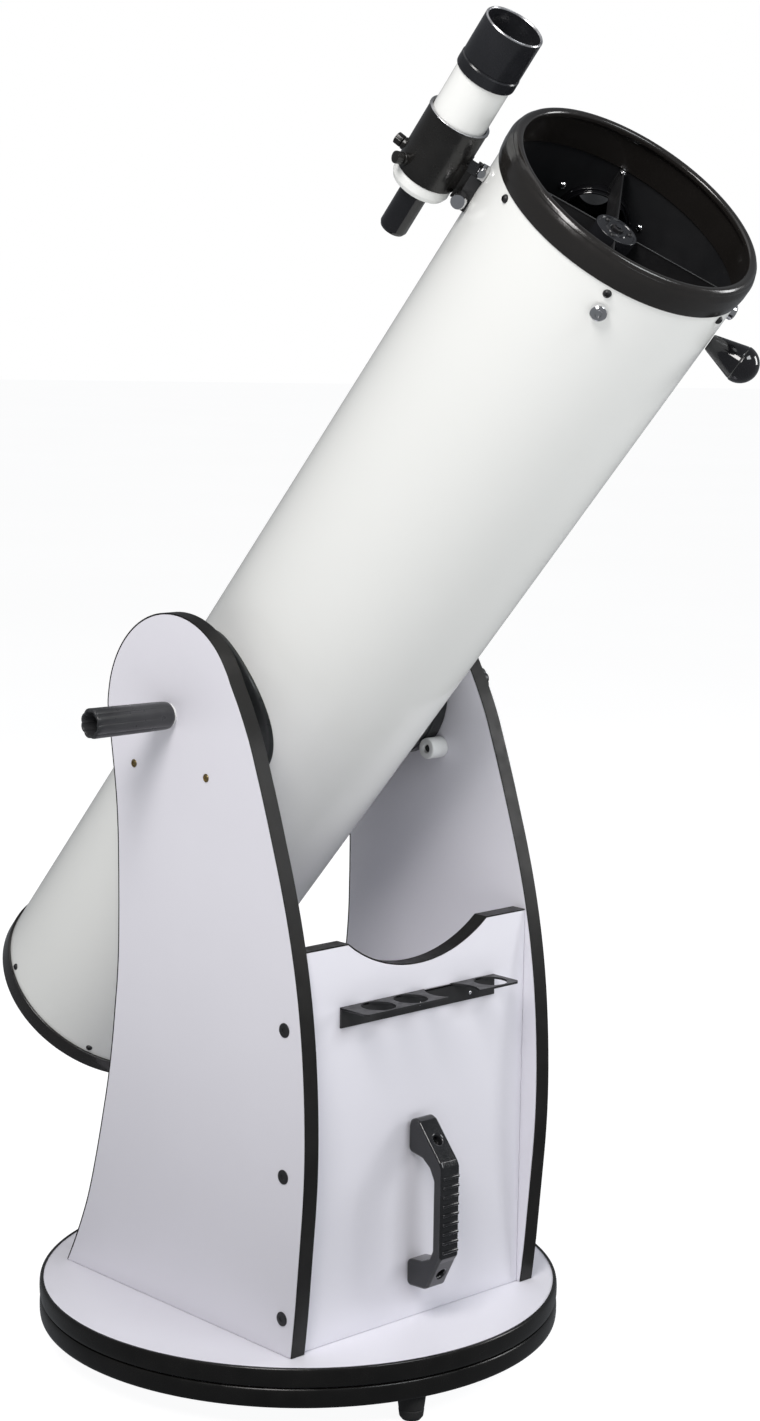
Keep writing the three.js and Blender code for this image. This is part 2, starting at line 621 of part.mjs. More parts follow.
const barrelOuter = onFinderAxis(disc(26.8, 529.2, 587.4, 28));
const barrelInner = onFinderAxis(disc(25, 520, 600, 28));
const stalk = block(129.6, FINDER_D, -10, 22, 537, 560);
const stalkFoot = block(118.9, 130, -12.1, 12.1, 529.2, 556);
const screwSeatAngles = [42, -14, -141].map((degrees) => THREE.MathUtils.degToRad(degrees));
const seats = [];
const seatHoles = [];
for (const angle of screwSeatAngles) {
  const seat = alongX(disc(5.5, 20, 29.5, 10)).rotateZ(angle).translate(0, 0, 538);
  const hole = alongX(disc(2.3, 15, 40, 8)).rotateZ(angle).translate(0, 0, 538);
  seats.push(onFinderAxis(seat));
  seatHoles.push(onFinderAxis(hole));
}
const bracket = cut(join(barrelOuter, stalk, stalkFoot, ...seats), barrelInner, ...seatHoles);
addTo(finder, 'finder_bracket', bracket, blackPlastic());

const alignProfile = [
  [0, 24.7], [2, 24.7], [2, 30], [5.2, 30], [5.2, 37], [0, 37],
];
screwSeatAngles.forEach((angle, i) => {
  const name = i < 2 ? `finder_align_screw_${i + 1}` : 'finder_spring_plunger';
  const screw = alongX(turned(alignProfile, 12)).rotateZ(angle).translate(0, 0, 538);
  addTo(finder, name, onFinderAxis(screw), i < 2 ? blackPlastic() : chrome());
});

const finderTube = turned([
  [21.3, 525], [12.6, 525], [12.6, 516], [23.5, 516], [25.8, 520], [25.8, 528.7], [24.2, 528.7],
  [24.2, 628.5], [23.2, 628.5], [23.2, 645], [21.3, 645],
], 28);
addTo(finder, 'finder_tube', onFinderAxis(finderTube), whiteSteel());

const dewShield = turned([
  [23.5, 628.8], [26.2, 628.8], [26.2, 640], [25.6, 641], [25.6, 676.5], [23.5, 676.5],
], 28);
addTo(finder, 'dew_shield', onFinderAxis(dewShield), blackPlastic());
addTo(finder, 'finder_lens', onFinderAxis(disc(21, 638, 643, 24)), paint(0x8fb0a8, 0.05, 0));

const eyepieceProfile = [
  [0, 470], [11, 470], [12.3, 473], [12.3, 535], [0, 535],
];
addTo(finder, 'finder_eyepiece', onFinderAxis(turned(eyepieceProfile, 20)), blackPlastic());

// ---- steering knob ----
const steeringProfile = [[0, 0], [7, 0], [15, 28], [15.6, 32], [14, 39], [8, 45], [0, 47]];
const steering = turned(steeringProfile, 20).translate(0, 0, TUBE_R + GAP + 0.2);
addTo(tube, 'steering_knob', radial(steering, KNOB_ANGLE, KNOB_S), blackPlastic());

export default telescope;
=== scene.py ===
import json
import math

import bmesh
import bpy
from mathutils import Matrix, Vector
from mathutils.geometry import interpolate_bezier


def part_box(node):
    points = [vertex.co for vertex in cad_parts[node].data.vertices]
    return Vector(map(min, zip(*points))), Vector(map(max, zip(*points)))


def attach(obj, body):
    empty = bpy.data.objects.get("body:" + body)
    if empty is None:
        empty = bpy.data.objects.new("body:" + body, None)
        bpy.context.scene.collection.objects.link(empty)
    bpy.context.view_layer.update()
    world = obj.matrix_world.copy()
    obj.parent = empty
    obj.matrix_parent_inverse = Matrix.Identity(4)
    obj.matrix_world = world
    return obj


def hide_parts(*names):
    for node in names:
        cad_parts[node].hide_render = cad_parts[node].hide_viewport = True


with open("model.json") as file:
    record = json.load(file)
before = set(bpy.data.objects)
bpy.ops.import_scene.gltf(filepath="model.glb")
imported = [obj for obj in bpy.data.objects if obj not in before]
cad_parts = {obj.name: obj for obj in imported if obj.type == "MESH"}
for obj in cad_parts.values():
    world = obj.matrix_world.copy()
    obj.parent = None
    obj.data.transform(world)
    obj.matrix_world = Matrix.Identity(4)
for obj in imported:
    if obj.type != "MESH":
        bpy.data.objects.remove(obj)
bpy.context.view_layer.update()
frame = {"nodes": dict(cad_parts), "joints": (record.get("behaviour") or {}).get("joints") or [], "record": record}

MM = Matrix.Scale(0.001, 4)
ORIGIN = Matrix.Identity(4)
# One turn lays along X what stands along Z, the other lays it along Y.
ALONG_X = Matrix(((0, 0, 1, 0), (1, 0, 0, 0), (0, 1, 0, 0), (0, 0, 0, 1)))
ALONG_Y = Matrix(((0, 1, 0, 0), (0, 0, 1, 0), (1, 0, 0, 0), (0, 0, 0, 1)))

# -------- places taken from the frame
JOINTS = {j["name"]: j for j in frame["joints"]}
BODY_OF = {n: b for b, names in frame["record"]["behaviour"]["bodies"].items() for n in names}
SIDES = (("left", -1), ("right", 1))


def place(origin, x, z):
    """A place in metres from its origin, its X and its Z direction."""
    z = Vector(z).normalized()
    y = z.cross(Vector(x)).normalized()
    matrix = Matrix((y.cross(z), y, z)).transposed().to_4x4()
    matrix.translation = Vector(origin)
    return matrix


def moved(matrix, x=0, y=0, z=0):
    """The same place moved by millimetres along its own axes."""
    return matrix @ Matrix.Translation((x / 1000, y / 1000, z / 1000))


def turned(matrix, degrees):
    return matrix @ Matrix.Rotation(math.radians(degrees), 4, "Z")


def radial(matrix, degrees, height):
    """A place at a height on another one's Z axis, with Z outwards, X across and Y along that axis."""
    return moved(turned(matrix, degrees), z=height) @ ALONG_X


def to_mm(matrix):
    """Takes the frame's metres to a place's millimetres."""
    return MM.inverted() @ matrix.inverted()


def centre_of(node):
    low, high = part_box(node)
    return (low + high) / 2


def under(node):
    """A place on the floor under the middle of a CAD node."""
    middle = centre_of(node)
    return Matrix.Translation((middle.x, middle.y, 0))


def cad_points(node, matrix):
    transform = to_mm(matrix)
    return [transform @ v.co for v in frame["nodes"][node].data.vertices]


def extent(node, matrix):
    """A CAD node's lowest and highest Z in a place, and its largest distance from the Z axis, in mm."""
    points = cad_points(node, matrix)
    heights = [p.z for p in points]
    return min(heights), max(heights), max(p.xy.length for p in points)


def span(node, matrix):
    return extent(node, matrix)[:2]


def bore(node, matrix):
    """The smallest distance of a CAD node's points from a place's Z axis, in mm."""
    return min(p.xy.length for p in cad_points(node, matrix))


BASE = under("ground_board")
SKY = Vector(JOINTS["finder_focus_turn"]["axis"])
TUBE = place(JOINTS["altitude"]["pos_m"], (1, 0, 0), SKY)
TO_TUBE = TUBE.inverted()
TUBE_TAIL, TUBE_MOUTH, TUBE_R = extent("main_tube", TUBE)
TUBE_WALL = 1.3


def tube_height(joint):
    """A joint's height along the tube, in mm from the altitude axis."""
    return (TO_TUBE @ Vector(JOINTS[joint]["pos_m"])).z * 1000


FOCUS_OUT = Vector(JOINTS["focus_travel"]["axis"])
FOCUS_DIRECTION = TO_TUBE.to_3x3() @ FOCUS_OUT
FOCUS_ANGLE = math.degrees(math.atan2(FOCUS_DIRECTION.y, FOCUS_DIRECTION.x))
CLAMP_HEIGHT = tube_height("drawtube_clamp_turn")
FOCUSER = moved(place(TUBE.translation, FOCUS_OUT, SKY), z=CLAMP_HEIGHT)
FINDER_OUT = Vector(JOINTS["finder_shoe_screw_turn"]["axis"]).cross(SKY)
FINDER_SIDE = place(TUBE.translation, FINDER_OUT, SKY)
FINDER = place(JOINTS["finder_focus_turn"]["pos_m"], FINDER_OUT, SKY)
FINDER = moved(FINDER, z=-tube_height("finder_focus_turn"))

# A grain is a scale, a strength and a depth in metres.
FINISHES = {
    "melamine_board": (
        (0.715, 0.708, 0.765), (0.765, 0.758, 0.815), (0.34, 0.46), (2.2, 35),
        [(950, 0.1, 0.0004), (14, 0.05, 0.002)], {}),
    "chipboard_core": (
        (0.3, 0.2, 0.11), (0.62, 0.47, 0.3), (0.75, 0.95), (420, 60),
        [(500, 0.7, 0.0006)], {"relief": "ShaderNodeTexVoronoi"}),
    "t_moulding": (
        (0.004, 0.0038, 0.0034), (0.0075, 0.007, 0.0064), (0.2, 0.3), (30, 60),
        [(700, 0.06, 0.0003), (40, 0.05, 0.0008)], {"specular": 0.38}),
    "edge_band": (
        (0.006, 0.0056, 0.0052), (0.011, 0.0104, 0.0098), (0.34, 0.48), (18, 90),
        [(900, 0.12, 0.0003), (60, 0.08, 0.0006)], {"specular": 0.3}),
    "tube_enamel": (
        (0.775, 0.785, 0.765), (0.8, 0.808, 0.79), (0.2, 0.26), (3, 20), [(260, 0.02, 0.0004)], {"coat": 0.3}),
    "inside_black": (
        (0.0065, 0.0068, 0.0078), (0.01, 0.0105, 0.012), (0.5, 0.64), (12, 60),
        [(900, 0.18, 0.0003)], {"specular": 0.35}),
    "hammered_enamel": (
        (0.011, 0.0098, 0.0088), (0.014, 0.0126, 0.0115), (0.17, 0.25), (25, 180),
        [(260, 0.17, 0.0008), (700, 0.03, 0.0003)], {"coat": 0.3}),
    "moulded_black": (
        (0.007, 0.0066, 0.006), (0.012, 0.0115, 0.0108), (0.2, 0.3), (40, 120), [(150, 0.03, 0.0003)], {}),
    "grip_plastic": (
        (0.018, 0.0185, 0.02), (0.03, 0.031, 0.033), (0.26, 0.38), (35, 100),
        [(1500, 0.2, 0.0003), (120, 0.05, 0.0006)], {}),
    "bearing_plastic": (
        (0.012, 0.013, 0.013), (0.022, 0.024, 0.024), (0.26, 0.4), (20, 60), [(1100, 0.18, 0.0003)], {}),
    "gloss_black": (
        (0.0045, 0.0045, 0.0052), (0.008, 0.008, 0.0095), (0.05, 0.11), (30, 60),
        [(90, 0.03, 0.0005)], {"coat": 0.4}),
    "black_anodised": (
        (0.0095, 0.01, 0.0115), (0.016, 0.0165, 0.019), (0.15, 0.23), (25, 120), [(150, 0.015, 0.0003)], {}),
    "satin_black": (
        (0.01, 0.01, 0.011), (0.02, 0.02, 0.021), (0.36, 0.52), (30, 150), [(800, 0.25, 0.0003)], {}),
    "handle_gloss": (
        (0.0085, 0.0088, 0.0098), (0.015, 0.0155, 0.017), (0.09, 0.15), (35, 100),
        [(1500, 0.06, 0.0002), (80, 0.04, 0.0006)], {"coat": 0.2}),
    "foot_rubber": (
        (0.014, 0.014, 0.014), (0.03, 0.029, 0.028), (0.62, 0.85), (60, 60), [(600, 0.35, 0.0005)], {}),
    "white_nylon": (
        (0.78, 0.79, 0.78), (0.86, 0.87, 0.86), (0.3, 0.45), (45, 200), [(900, 0.12, 0.0003)], {}),
    "chrome_plate": (
        (0.72, 0.72, 0.73), (0.82, 0.82, 0.83), (0.07, 0.16), (60, 400),
        [(300, 0.04, 0.0003)], {"metallic": 1}),
    "machined_steel": (
        (0.4, 0.4, 0.41), (0.58, 0.58, 0.6), (0.22, 0.38), (150, 500), [(700, 0.15, 0.0003)], {"metallic": 1}),
    "brass_screw": (
        (0.3, 0.22, 0.1), (0.52, 0.4, 0.19), (0.22, 0.42), (300, 500), [(900, 0.2, 0.0002)], {"metallic": 1}),
    # Bare metal on worn rims and on the lens retainer; on the finder bracket's top edge this light grey is a
    # painted highlight.
    "worn_edge_and_painted_highlight": (
        (0.3, 0.3, 0.31), (0.62, 0.62, 0.64), (0.25, 0.35), (60, 120),
        [(900, 0.05, 0.0002)], {"metallic": 0.9}),
    "silvered_glass": (
        (0.84, 0.86, 0.88), (0.9, 0.91, 0.93), (0.02, 0.035), (12, 30), [], {"metallic": 1}),
    "ground_glass": (
        (0.42, 0.5, 0.47), (0.56, 0.63, 0.6), (0.55, 0.75), (60, 60), [(700, 0.3, 0.0003)], {}),
    "coated_lens": (
        (0.03, 0.06, 0.042), (0.055, 0.095, 0.07), (0.02, 0.05), (30, 60), [], {"specular": 0.9, "coat": 1}),
    "pale_floor": (
        (0.22, 0.22, 0.225), (0.26, 0.26, 0.265), (0.75, 0.9), (0.6, 3),
        [(40, 0.02, 0.002)], {"specular": 0.1, "glow": 0.92}),
}
MATERIALS = {}
TEXTURE_LOW, TEXTURE_HIGH = 0.3, 0.7  # the share of a noise's range that the colours and roughness use


def add_node(tree, kind, inputs):
    """A node whose inputs are linked where a socket is given, and set where a value is."""
    node = tree.nodes.new(kind)
    for name, value in inputs.items():
        if isinstance(value, bpy.types.NodeSocket):
            tree.links.new(value, node.inputs[name])
        else:
            node.inputs[name].default_value = value
    return node


def texture(tree, scale, detail, kind="ShaderNodeTexNoise"):
    """A procedural texture in the object's own coordinates, which are the frame's at rest."""
    place_socket = tree.nodes.new("ShaderNodeTexCoord").outputs["Object"]
    return add_node(tree, kind, {"Vector": place_socket, "Scale": scale, "Detail": detail}).outputs[0]


def finish(name, dark, light, rough, scales, grains, metallic=0, relief="ShaderNodeTexNoise", specular=0.5,
           coat=0, glow=0):
    """A surface with drifting tone, uneven roughness and up to two layers of fine relief."""
    material = bpy.data.materials.new(name)
    material.use_nodes = True
    tree = material.node_tree
    shader = tree.nodes["Principled BSDF"]
    ramp = add_node(tree, "ShaderNodeValToRGB", {"Fac": texture(tree, scales[0], 5)})
    stops = zip(ramp.color_ramp.elements, (TEXTURE_LOW, TEXTURE_HIGH), (dark, light))
    for element, position, colour in stops:
        element.position = position
        element.color = (*colour, 1)
    tree.links.new(ramp.outputs["Color"], shader.inputs["Base Color"])
    patches = {"Value": texture(tree, scales[1], 6), "From Min": TEXTURE_LOW, "From Max": TEXTURE_HIGH,
               "To Min": rough[0], "To Max": rough[1]}
    tree.links.new(add_node(tree, "ShaderNodeMapRange", patches).outputs["Result"], shader.inputs["Roughness"])
    for socket, value in (("Metallic", metallic), ("Specular IOR Level", specular), ("Coat Weight", coat),
                          ("Coat Roughness", 0.08), ("Emission Strength", glow), ("Emission Color", [1] * 4)):
        shader.inputs[socket].default_value = value
    below = {}
    for (scale, strength, distance), detail, kind in zip(grains, (5, 3), (relief, "ShaderNodeTexNoise")):
        relief_inputs = {"Strength": strength, "Distance": distance, **below,
                         "Height": texture(tree, scale, detail, kind)}
        below = {"Normal": add_node(tree, "ShaderNodeBump", relief_inputs).outputs["Normal"]}
        tree.links.new(below["Normal"], shader.inputs["Normal"])
    return material


def look(name):
    """Each material is made once."""
    if name not in MATERIALS:
        *row, options = FINISHES[name]
        MATERIALS[name] = finish(name, *row, **options)
    return MATERIALS[name]


# -------- mesh helpers, in mm
ON_AXIS = 1e-6  # a smaller radius is a point on the axis
ARC_HANDLE = 0.5523  # the handle of a curve that stands for a quarter of a circle
ARC_POINTS = 6
WELD = 0.01


def softened(points, closed=True):
    """A profile whose points may carry a third number, the radius that rounds their corner."""
    result = []
    count = len(points)
    for i, point in enumerate(points):
        here = Vector(point[:2])
        if len(point) < 3 or (not closed and i in (0, count - 1)):
            result.append(here)
            continue
        before, after = Vector(points[i - 1][:2]) - here, Vector(points[(i + 1) % count][:2]) - here
        setback = point[2] / math.tan(before.angle(after) / 2)
        setback = min(setback, 0.49 * before.length, 0.49 * after.length)
        start, end = here + before.normalized() * setback, here + after.normalized() * setback
        handles = start.lerp(here, ARC_HANDLE), end.lerp(here, ARC_HANDLE)
        result.extend(interpolate_bezier(start, *handles, end, ARC_POINTS))
    return [(p.x, p.y) for p in result]


def ring(radius, steps, height=0):
    angles = [2 * math.pi * k / steps for k in range(steps)]
    return [(radius * math.cos(a), radius * math.sin(a), height) for a in angles]


def skin(bm, rows):
    """Faces between rows of vertices. A row of one vertex is a tip."""
    for low, high in zip(rows, rows[1:]):
        count = max(len(low), len(high))
        for i in range(count):
            j = (i + 1) % count
            corners = [low[i % len(low)], low[j % len(low)], high[j % len(high)], high[i % len(high)]]
            corners = list(dict.fromkeys(corners))
            if len(corners) > 2:
                bm.faces.new(corners)


def shell(loops, closed=False):
    """A mesh of loops of points, joined in their order."""
    bm = bmesh.new()
    rows = [[bm.verts.new(p) for p in loop] for loop in loops]
    skin(bm, rows + rows[:1] if closed else rows)
    return bm


def loft(loops):
    """A solid through loops, with both ends filled from their middles."""
    tips = [[sum((Vector(p) for p in loop), Vector()) / len(loop)] for loop in (loops[0], loops[-1])]
    return shell([tips[0], *loops, tips[1]])


def lathe(profile, segments=96):
    """A profile of (radius, height) turned about Z. It ends on the axis, or closes on itself."""
    closed = profile[0][0] > ON_AXIS
    points = softened(profile, closed)
    return shell([ring(r, segments if r > ON_AXIS else 1, height) for r, height in points], closed)


def rod(radius, low, high, segments=32):
    return lathe([(0, low), (radius, low), (radius, high), (0, high)], segments)


def fluted(radius, lobes, steps, rows, base=0, unit=1):
    """Loops of a fluted grip. A row is a share of the radius, the flutes' depth and a height over the base."""
    loops = []
    for share, depth, height in rows:
        loop = []
        for k in range(steps):
            angle = 2 * math.pi * k / steps
            wave = abs(math.sin(angle * lobes / 2)) ** 0.7
            r = radius * share * (1 - depth * (1 - wave))
            loop.append((r * math.cos(angle), r * math.sin(angle), base + unit * height))
        loops.append(loop)
    return loops


def prism(outline, low, high, holes=()):
    """An outline in XY, with holes, raised from low to high."""
    bm = bmesh.new()
    for loop in (outline, *holes):
        verts = [bm.verts.new((p[0], p[1], low)) for p in loop]
        for i, vert in enumerate(verts):
            bm.edges.new((vert, verts[(i + 1) % len(verts)]))
    bmesh.ops.triangle_fill(bm, use_beauty=True, use_dissolve=False, edges=list(bm.edges))
    bmesh.ops.dissolve_limit(bm, angle_limit=0.01, verts=list(bm.verts), edges=list(bm.edges))
    raised = bmesh.ops.extrude_face_region(bm, geom=list(bm.faces), use_keep_orig=True)["geom"]
    top = [v for v in raised if isinstance(v, bmesh.types.BMVert)]
    bmesh.ops.translate(bm, verts=top, vec=(0, 0, high - low))
    return bm


def box_mesh(x0, x1, y0, y1, z0, z1):
    return prism([(x0, y0), (x1, y0), (x1, y1), (x0, y1)], z0, z1)


def welded(node, matrix):
    """A copy of a CAD node in a place's mm, with its doubled points made one."""
    bm = bmesh.new()
    bm.from_mesh(frame["nodes"][node].data)
    bm.transform(to_mm(matrix))
    bmesh.ops.remove_doubles(bm, verts=list(bm.verts), dist=WELD)
    return bm


def cad_mesh(node, matrix):
    """A welded copy of a CAD node with its flat faces whole."""
    bm = welded(node, matrix)
    bmesh.ops.dissolve_limit(bm, angle_limit=math.radians(1), verts=list(bm.verts), edges=list(bm.edges))
    return bm


def cad_outlines(node, matrix):
    """The boundary loops of a CAD node's highest flat face in a place, in XY, the largest one first."""
    bm = welded(node, matrix)
    level = max(v.co.z for v in bm.verts)
    flat = {f for f in bm.faces if all(abs(v.co.z - level) < 0.05 for v in f.verts)}
    edges = dict.fromkeys(e for e in bm.edges if sum(f in flat for f in e.link_faces) == 1)
    loops = []
    while edges:
        start, here = edges.popitem()[0].verts
        loop = [start.co.xy.copy()]
        while here is not start:
            loop.append(here.co.xy.copy())
            edge = next(e for e in here.link_edges if e in edges)
            del edges[edge]
            here = edge.other_vert(here)
        loops.append(loop)
    bm.free()
    return sorted(loops, key=box_area, reverse=True)


def box_area(points):
    xs, ys = [p[0] for p in points], [p[1] for p in points]
    return (max(xs) - min(xs)) * (max(ys) - min(ys))


def smoothed(loop, corner=26, cuts=4):
    """The loop with its gentle bends made into curves. A bend of more than corner degrees is kept."""
    count = len(loop)
    edges = [loop[(i + 1) % count] - loop[i] for i in range(count)]
    bends = [math.degrees(edges[i - 1].angle(edges[i], 0)) for i in range(count)]
    result = []
    for i in range(count):
        p0, p1, p2, p3 = (loop[(i + k) % count] for k in (-1, 0, 1, 2))
        if bends[i] > corner:
            p0 = p1
        if bends[(i + 1) % count] > corner:
            p3 = p2
        result.append(p1)
        straight = p0 == p1 and p3 == p2
        long_run = (p2 - p1).length > 3 * max((p1 - p0).length, (p3 - p2).length)
        if straight or long_run:
            continue
        for k in range(1, cuts):
            t = k / cuts
            result.append(0.5 * (2 * p1 + (p2 - p0) * t + (2 * p0 - 5 * p1 + 4 * p2 - p3) * t * t
                                 + (3 * p1 - p0 - 3 * p2 + p3) * t ** 3))
    return result


def merged(first, *others):
    """Several separate solids in one mesh."""
    for other in others:
        mesh = bpy.data.meshes.new("part")
        other.to_mesh(mesh)
        first.from_mesh(mesh)
        bpy.data.meshes.remove(mesh)
        other.free()
    return first


def shifted(bm, y=0, z=0):
    bmesh.ops.translate(bm, verts=list(bm.verts), vec=(0, y, z))
    return bm


def spun(bm, degrees):
    bm.transform(Matrix.Rotation(math.radians(degrees), 4, "Z"))
    return bm


def laid(bm):
    """Turns what stands along Z so that it lies along X."""
    bm.transform(ALONG_X)
    return bm


def spoke(bm, height, degrees):
    """Lays a solid outwards from the Z axis, at a height and an angle."""
    return spun(shifted(laid(bm), z=height), degrees)


def new_object(name, bm):
    mesh = bpy.data.meshes.new(name)
    bm.to_mesh(mesh)
    bm.free()
    obj = bpy.data.objects.new(name, mesh)
    bpy.context.scene.collection.objects.link(obj)
    return obj


def boolean(solids, operation):
    """Joins the other solids into the first, or cuts them from it."""
    for bm in solids:
        bmesh.ops.recalc_face_normals(bm, faces=list(bm.faces))
    objects = [new_object("solid", bm) for bm in solids]
    for tool in objects[1:]:
        modifier = objects[0].modifiers.new("boolean", "BOOLEAN")
        modifier.operation = operation
        modifier.solver = "EXACT"
        modifier.object = tool
    evaluated = objects[0].evaluated_get(bpy.context.evaluated_depsgraph_get())
    bm = bmesh.new()
    bm.from_mesh(evaluated.to_mesh())
    evaluated.to_mesh_clear()
    for obj in objects:
        mesh = obj.data
        bpy.data.objects.remove(obj)
        bpy.data.meshes.remove(mesh)
    bmesh.ops.remove_doubles(bm, verts=list(bm.verts), dist=0.001)
    return bm


def cut(*solids):
    return boolean(solids, "DIFFERENCE")


def union(*solids):
    return boolean(solids, "UNION")


def piece(name, bm, matrix, surface, node=None, body=None, slot=None, bevel=0, sharp=32, second=None):
    """Makes an object of a mesh in a place's mm, and lets it ride on its body.

    Hardware that replaces no CAD node rides on the tube, unless its body is given. The slot argument is not used.
    The second surface goes on the faces that its test picks by their centre and normal in the place.
    """
    bmesh.ops.recalc_face_normals(bm, faces=list(bm.faces))
    surfaces = [surface]
    if second:
        surfaces.append(second[0])
        for face in bm.faces:
            face.material_index = int(second[1](face.calc_center_median(), face.normal))
    bm.transform(matrix @ MM)
    obj = new_object(name, bm)
    for each in surfaces:
        obj.data.materials.append(look(each))
    obj.data.shade_smooth()
    obj.data.set_sharp_from_angle(angle=math.radians(sharp))
    if bevel:
        modifier = obj.modifiers.new("edges", "BEVEL")
        modifier.width = bevel / 1000
        modifier.segments = 3
        modifier.limit_method = "ANGLE"
        modifier.angle_limit = math.radians(35)
    if node:
        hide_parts(node)
    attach(obj, body or BODY_OF.get(node, "tube"))


def cad_piece(node, suffix, matrix, surface, bevel, sharp=32):
    """A CAD node in its own shape, with softened edges."""
    piece(f"{node}_{suffix}", cad_mesh(node, matrix), matrix, surface, node, bevel=bevel, sharp=sharp)


def lathed(node, suffix, profile, segments, matrix, surface, **options):
    """A CAD node made anew on the lathe."""
    piece(f"{node}_{suffix}", lathe(profile, segments), matrix, surface, node, **options)


# -------- small hardware
def cross_cutter(size, depth, top):
    """The cross recess of a screw head, as two bars to cut with."""
    arm, end = size * 0.16, size * 0.55
    return [box_mesh(-x, x, -y, y, top - depth, top + depth) for x, y in ((end, arm), (arm, end))]


def screw(name, matrix, radius, height, body, turn=0, surface="satin_black", slot="bolt_steel"):
    """A domed cross-head screw whose head stands on the place's XY plane."""
    head = lathe([(0, 0), (radius, 0, 0.1), (radius, height * 0.25, 0.2), (radius * 0.72, height * 0.78, 1.5),
                  (radius * 0.3, height, 1.5), (0, height)], 40)
    head = cut(head, *cross_cutter(radius, height * 0.5, height))
    piece(name, head, turned(matrix, turn), surface, body=body, slot=slot, sharp=40)


def thumb_screw(node, matrix, head_r, head_low, surface):
    """A knurled thumb screw on a plain shank."""
    low, high, _ = extent(node, matrix)
    rows = ((0.8, 0, 0), (0.97, 0.02, 0.05), (1, 0.06, 0.14), (1, 0.06, 0.84), (0.97, 0.02, 0.95), (0.8, 0, 1))
    head = loft(fluted(head_r, 16, 96, rows, head_low, high - head_low))
    shank_r, overlap = 2, 0.4
    shank = lathe([(0, low), (shank_r, low, 0.4), (shank_r, head_low + overlap), (0, head_low + overlap)], 28)
    piece(f"{node}_knurled", merged(head, shank), matrix, surface, node, sharp=45)


# -------- ground board, feet, pivot
def moulding_profile(node, board_r):
    """A bulged edge strip whose thin lips lie on the board's faces."""
    low, high, out = extent(node, BASE)
    wall, inner = board_r + 0.3, board_r - 1.6
    profile = [(wall, low + 1.2), (inner, low + 0.9, 0.2), (inner + 0.3, low, 0.3)]
    for k in range(-12, 13):
        t = k / 12
        bulge = (out - wall) * (1 - abs(t) ** 2.6)
        profile.append((wall + bulge, (low + high) / 2 + (high - low) / 2 * math.sin(t * math.pi / 2)))
    return profile + [(inner + 0.3, high, 0.3), (inner, high - 0.9, 0.2), (wall, high - 1.2)]


def boards():
    for node in ("ground_board", "azimuth_board"):
        low, high, radius = extent(node, BASE)
        hole = bore(node, BASE)
        profile = [(hole, low), (radius, low, 0.4), (radius, high, 0.4), (hole, high)]

        def on_rim(centre, normal, rim=radius - 0.6):
            return centre.xy.length > rim and abs(normal.z) < 0.3

        lathed(node, "disc", profile, 192, BASE, "melamine_board",
               second=("chipboard_core", on_rim))
        strip = lathe(moulding_profile(f"{node}_edge", radius), 192)
        piece(f"{node}_edge_strip", strip, BASE, "t_moulding", f"{node}_edge", sharp=50)


def feet_and_pads():
    for i in (1, 2, 3):
        node = f"foot_{i}"
        at = under(node)
        _, top, wide = extent(node, at)
        profile = [(0, 1.6), (3.4, 1.6), (3.4, 0), (8.4, 0, 1.6), (11, 3.4, 1.5), (11.8, 9.5, 0.6),
                   (11.3, 10.6, 0.4), (11.9, 11.7, 0.6), (wide, top - 3, 1.2), (wide, top, 0.8), (0, top)]
        lathed(node, "pad", profile, 56, at, "foot_rubber")
        head = lathe([(0, 1.7), (3, 1.7), (3, 2.9, 0.6), (0, 3.2)], 24)
        head = cut(head, *cross_cutter(2.2, 0.6, 1.9))
        piece(f"{node}_screw", head, at, "machined_steel", body=BODY_OF[node])
    for i in (1, 2, 3):
        node = f"glide_pad_{i}"
        at = under(node)
        low, high, wide = extent(node, at)
        profile = [(0, low), (wide, low, 0.4), (wide, high, 0.7), (2.4, high, 0.3), (1.6, high - 0.7),
                   (0, high - 0.7)]
        lathed(node, "disc", profile, 48, at, "white_nylon")


def pivot():
    low, high, head = extent("pivot_bolt", BASE)
    shank, thread_depth = 5, 0.45
    under_board = span("ground_board", BASE)[0] - 0.3
    deck = span("azimuth_board", BASE)[1]
    profile = [(0, low), (head, low, 2.2), (head, under_board, 0.6), (shank, under_board), (shank, deck - 1)]
    for k in range(int(high - deck)):
        profile += [(shank, deck + k - 0.75), (shank - thread_depth, deck + k - 0.25)]
    profile += [(shank, high - 1), (shank - 1, high), (0, high)]
    lathed("pivot_bolt", "turned", profile, 48, BASE, "machined_steel")
    cad_piece("pivot_nut", "hexagon", BASE, "machined_steel", 0.7)


# -------- rocker box
def flat_panel(node, matrix, band_bevel):
    """A board and its edge band, rebuilt from the outlines of their CAD faces with finer curves."""
    for name, source, surface, bevel in ((f"{node}_board", node, "melamine_board", 0.45),
                                         (f"{node}_edge_band", f"{node}_edge", "edge_band", band_bevel)):
        outline, *holes = [smoothed(loop) for loop in cad_outlines(source, matrix)]
        piece(name, prism(outline, *span(source, matrix), holes), matrix, surface, source, bevel=bevel)


def outer_face(side, sign):
    """The X of a side panel's outer face, in metres."""
    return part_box(f"side_panel_{side}")[0 if sign < 0 else 1].x


